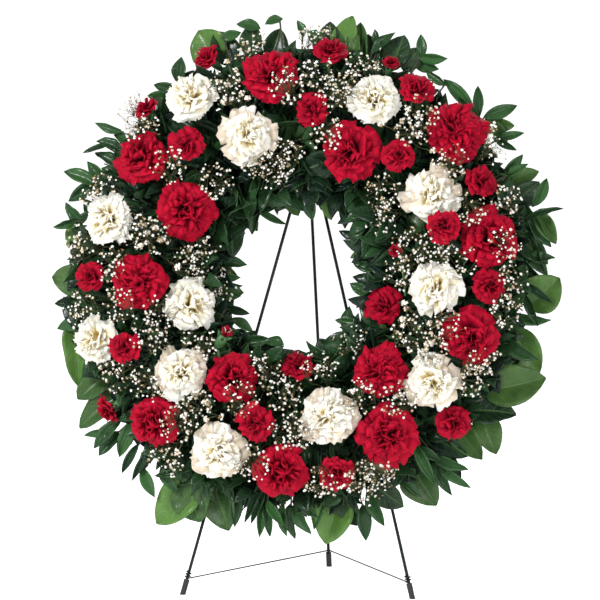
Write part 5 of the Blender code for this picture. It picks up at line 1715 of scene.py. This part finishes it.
def add_filling(piece, sector, models, obstacles):
    """The finer foliage of a sector: leaves that hide the ring, then sprigs outwards, into the
    hole and up between the blooms."""
    draw = random.Random(900 + sector.index)
    start = sector.middle - sector.half
    for turns, sign, count, length, width in FOAM_LEAVES:
        for i in range(count):
            angle = start + 2 * sector.half * (i + draw.uniform(0, 1)) / count
            base, normal = on_foam(sector, angle, math.radians(draw.uniform(*turns)), 0.002)
            along = spoke(angle, sign, draw.uniform(-55, 55), draw.uniform(-12, 16)).normalized()
            along = along - normal * along.dot(normal) * 0.8
            along = (along + normal * draw.uniform(0.05, 0.45)).normalized()
            size = draw.uniform(0.8, 1.15)
            tip = base + along * length * size
            if in_hole(tip) or obstacles.in_head(tip, 0.001):
                continue
            if beyond(tip) or obstacles.veils(tip):
                continue
            leaf = (base, along, normal, length * size, width * size, draw.uniform(-0.02, 0.12))
            lay_leaf(piece, draw, models["small"], leaf, False, SHADED_INNER_GREENS)
    for count, offset, height, sign, rises, lengths, leaves in SPRIG_TIERS:
        for i in range(count):
            angle = start + 2 * sector.half * (i + draw.uniform(0.1, 0.9)) / count
            base = sector.point(angle, offset, height)
            along = spoke(angle, sign, draw.uniform(-38, 38), draw.uniform(*rises)).normalized()
            up = (UP - outward(base) * sign * 0.35).normalized()
            size = draw.uniform(0.028, 0.043)
            sprig = (base, along, up, draw.uniform(*lengths), leaves, size)
            add_sprig(piece, draw, models, obstacles, *sprig)
    for i in range(FACE_SPRIGS):
        angle = start + 2 * sector.half * (i + draw.uniform(0, 1)) / FACE_SPRIGS
        base, normal = on_foam(sector, angle, math.radians(draw.uniform(-75, 75)), 0.0)
        across = round_ring(angle)[1]
        along = normal + across * draw.uniform(-0.9, 0.9)
        along = (along + outward(base) * draw.uniform(-0.3, 0.3)).normalized()
        up = (across * draw.choice((-1, 1)) + normal * 0.3).normalized()
        if abs(along.dot(up)) > 0.9:
            continue
        size = draw.uniform(0.025, 0.036)
        sprig = (base, along, up, draw.uniform(0.030, 0.056), 6, size)
        add_sprig(piece, draw, models, obstacles, *sprig)


def dress_greens(sectors, obstacles):
    """The foliage, one piece for each sector of the solids."""
    models = leaf_models()
    for sector in sectors:
        draw = random.Random(500 + sector.index)
        piece = Piece(f"foliage_{sector.index + 1}", [BROAD_LEAF, SMALL_LEAF, LEAF_BACK, BARK])
        for points, radius in sector.twigs:
            reference = UP if len(points) in (4, 5) else sector.tangent
            piece.add(*tube(points, [radius] * len(points), 6, reference), 3)
        for leaf in sector.leaves:
            if beyond(leaf[0] + leaf[1] * leaf[3]):
                continue
            broad = leaf[4] / leaf[3] > 0.5
            lay_leaf(piece, draw, models["broad" if broad else "small"], leaf, broad, SHADED_INNER_GREENS)
        add_shown_leaves(piece, sector, models, obstacles)
        add_filling(piece, sector, models, obstacles)
        piece.build("stand", "greens", [f"greens_{sector.index + 1}"])


# Easel, ring and stage


def finish_node(name, material):
    """Gives a solid of the frame its finish."""
    node = frame["nodes"][name]
    node.data.materials.clear()
    node.data.materials.append(material)


def on_leg(side, height):
    """A point of a front leg's middle at a height over the floor."""
    depth = CROWN.z
    v = (height - CENTRE.z - depth * AXIS_N.z) / AXIS_V.z
    return Vector((side * LEG_SLOPE * (LEGS_MEET_V - v), v, depth))


def unworld(point):
    """A point of the object in the wreath's frame."""
    offset = Vector(point) - CENTRE
    return Vector((offset.dot(AXIS_U), offset.dot(AXIS_V), offset.dot(AXIS_N)))


def wrap(leg_low, leg_high, radius, turns, start):
    """Points of a wire wound round a leg, from its low end to its high end."""
    along = (leg_high - leg_low).normalized()
    first = square_to(along, start - leg_low)
    second = along.cross(first)
    steps = int(turns * 10)
    points = []
    for i in range(steps + 1):
        turn = 2 * math.pi * turns * i / steps
        points.append(leg_low.lerp(leg_high, i / steps) + turned(first, second, turn) * radius)
    return points


def add_stay():
    """The thin stay wire: from one front leg, behind the rear leg, to the other, wound round each
    front leg."""
    foot = unworld((0, world(CROWN).y + REAR_REACH, 0))
    down = (foot - CROWN).normalized()
    behind = Vector((1, 0, 0)).cross(down)
    if behind.z > 0:
        behind = -behind
    top = CROWN + behind * EYE_RADIUS
    drop = (world(top).z - STAY_HEIGHT) / -(world(top + down).z - world(top).z)
    apart = WIRE + STAY_WIRE + SEAT_GAP
    bend = []
    for step in range(7):
        angle = math.radians(-75 + 25 * step)
        bend.append(top + down * drop + turned(behind, AXIS_U, angle) * apart)
    piece = Piece("stay_line", [WIRE_PAINT])
    halves = []
    for side, end in ((-1, bend[0]), (1, bend[-1])):
        low, high = on_leg(side, STAY_HEIGHT), on_leg(side, STAY_HEIGHT + WRAP_HEIGHT)
        halves.append(list(reversed(wrap(low, high, apart, WRAP_TURNS, end))))
    path = halves[0] + [halves[0][-1].lerp(bend[0], 0.5)] + bend
    path += [bend[-1].lerp(halves[1][-1], 0.5)] + list(reversed(halves[1]))
    piece.add(*tube(path, [STAY_WIRE] * len(path), 6, down))
    line = piece.build("stand", "steel", ["stay_wire"])
    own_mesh(line)


def dress_frame():
    """The finishes of the easel, its caps, the foam and the tray."""
    for name in ("front_frame", "rear_leg"):
        finish_node(name, WIRE_PAINT)
    for name in ("foot_cap_left", "foot_cap_right", "foot_cap_rear"):
        finish_node(name, CAP_RUBBER)
    finish_node("foam_ring", FOAM)
    finish_node("tray", TRAY)


def add_camera():
    """A long lens at the photograph's angle, with the wreath where the photograph has it."""
    turn, rise = SEEN_FROM_RIGHT, CAMERA_ELEVATION
    flat = math.cos(rise)
    back = Vector((math.sin(turn) * flat, -math.cos(turn) * flat, math.sin(rise)))
    right = Vector((math.cos(turn), math.sin(turn), 0))
    up = back.cross(right)
    aim = CENTRE + right * (FRAME_MIDDLE[0] - CENTRE_PIXEL[0]) * METRES_PER_PIXEL
    aim += up * (CENTRE_PIXEL[1] - FRAME_MIDDLE[1]) * METRES_PER_PIXEL
    data = bpy.data.cameras.new("camera")
    data.sensor_width = 36.0
    data.lens = data.sensor_width * CAMERA_DISTANCE / (FRAME_PIXELS * METRES_PER_PIXEL)
    camera = bpy.data.objects.new("camera", data)
    bpy.context.scene.collection.objects.link(camera)
    camera.rotation_mode = "QUATERNION"
    camera.location = aim + back * CAMERA_DISTANCE
    camera.rotation_quaternion = back.to_track_quat("Z", "Y")
    data.clip_end = 100
    bpy.context.scene.camera = camera


def add_light(name, place_at, size, power, target):
    """A round soft light that looks at a target."""
    data = bpy.data.lights.new(name, "AREA")
    data.shape = "DISK"
    data.size = size
    data.energy = power
    light = bpy.data.objects.new(name, data)
    bpy.context.scene.collection.objects.link(light)
    light.location = place_at
    light.rotation_mode = "QUATERNION"
    light.rotation_quaternion = (Vector(place_at) - Vector(target)).to_track_quat("Z", "Y")


def add_stage():
    """A white floor and a white room, with a soft key from the upper left."""
    bpy.ops.object.select_all(action="DESELECT")
    bpy.ops.mesh.primitive_plane_add(size=60, location=(0, 0, 0))
    floor = bpy.context.object
    floor.name = "floor"
    material, shader, graph = new_material("white_floor", 0.9)
    broad, _ = add_mottle(graph, 3.0, 6.0)
    white = graph.ramp(broad, ((0.0, (0.90, 0.90, 0.90)), (1.0, (0.94, 0.94, 0.94))))
    graph.link(white, shader.inputs["Base Color"])
    shader.inputs["Emission Color"].default_value = (1, 1, 1, 1)
    shader.inputs["Emission Strength"].default_value = FLOOR_LIGHT
    floor.data.materials.append(material)
    room = bpy.data.worlds.new("studio")
    room.use_nodes = True
    graph = Graph(room.node_tree)
    sky = room.node_tree.nodes["Background"]
    sky.inputs["Color"].default_value = (1, 1, 1, 1)
    seen = graph.node("ShaderNodeLightPath").outputs["Is Camera Ray"]
    graph.link(graph.plus(graph.times(seen, ROOM_SEEN_MORE), ROOM_LIGHT), sky.inputs["Strength"])
    bpy.context.scene.world = room
    bpy.context.scene.view_settings.view_transform = "Standard"
    middle = world((0, 0, 0.05))
    for light in LIGHTS:
        add_light(*light, middle)


def main():
    add_camera()
    add_stage()
    dress_frame()
    add_stay()
    blooms = all_blooms()
    obstacles = Obstacles(blooms)
    turn_heads(blooms)
    dress_blooms(blooms)
    sprays = {}
    spray_rods = []
    for name, pixel in BREATH.items():
        rods, florets = breath_spray(name, pixel, obstacles)
        sprays[name] = (rods, florets)
        spray_rods += rods + [(middle, middle, FLORET_RADIUS) for middle, _, _ in florets]
    obstacles.rods += spray_rods
    sectors = [Sector(index, obstacles) for index in range(SECTORS)]
    for sector in sectors:
        sector.grow()
    obstacles.take_heads(blooms)
    dress_greens(sectors, obstacles)
    dress_breath(sprays, obstacles)


main()
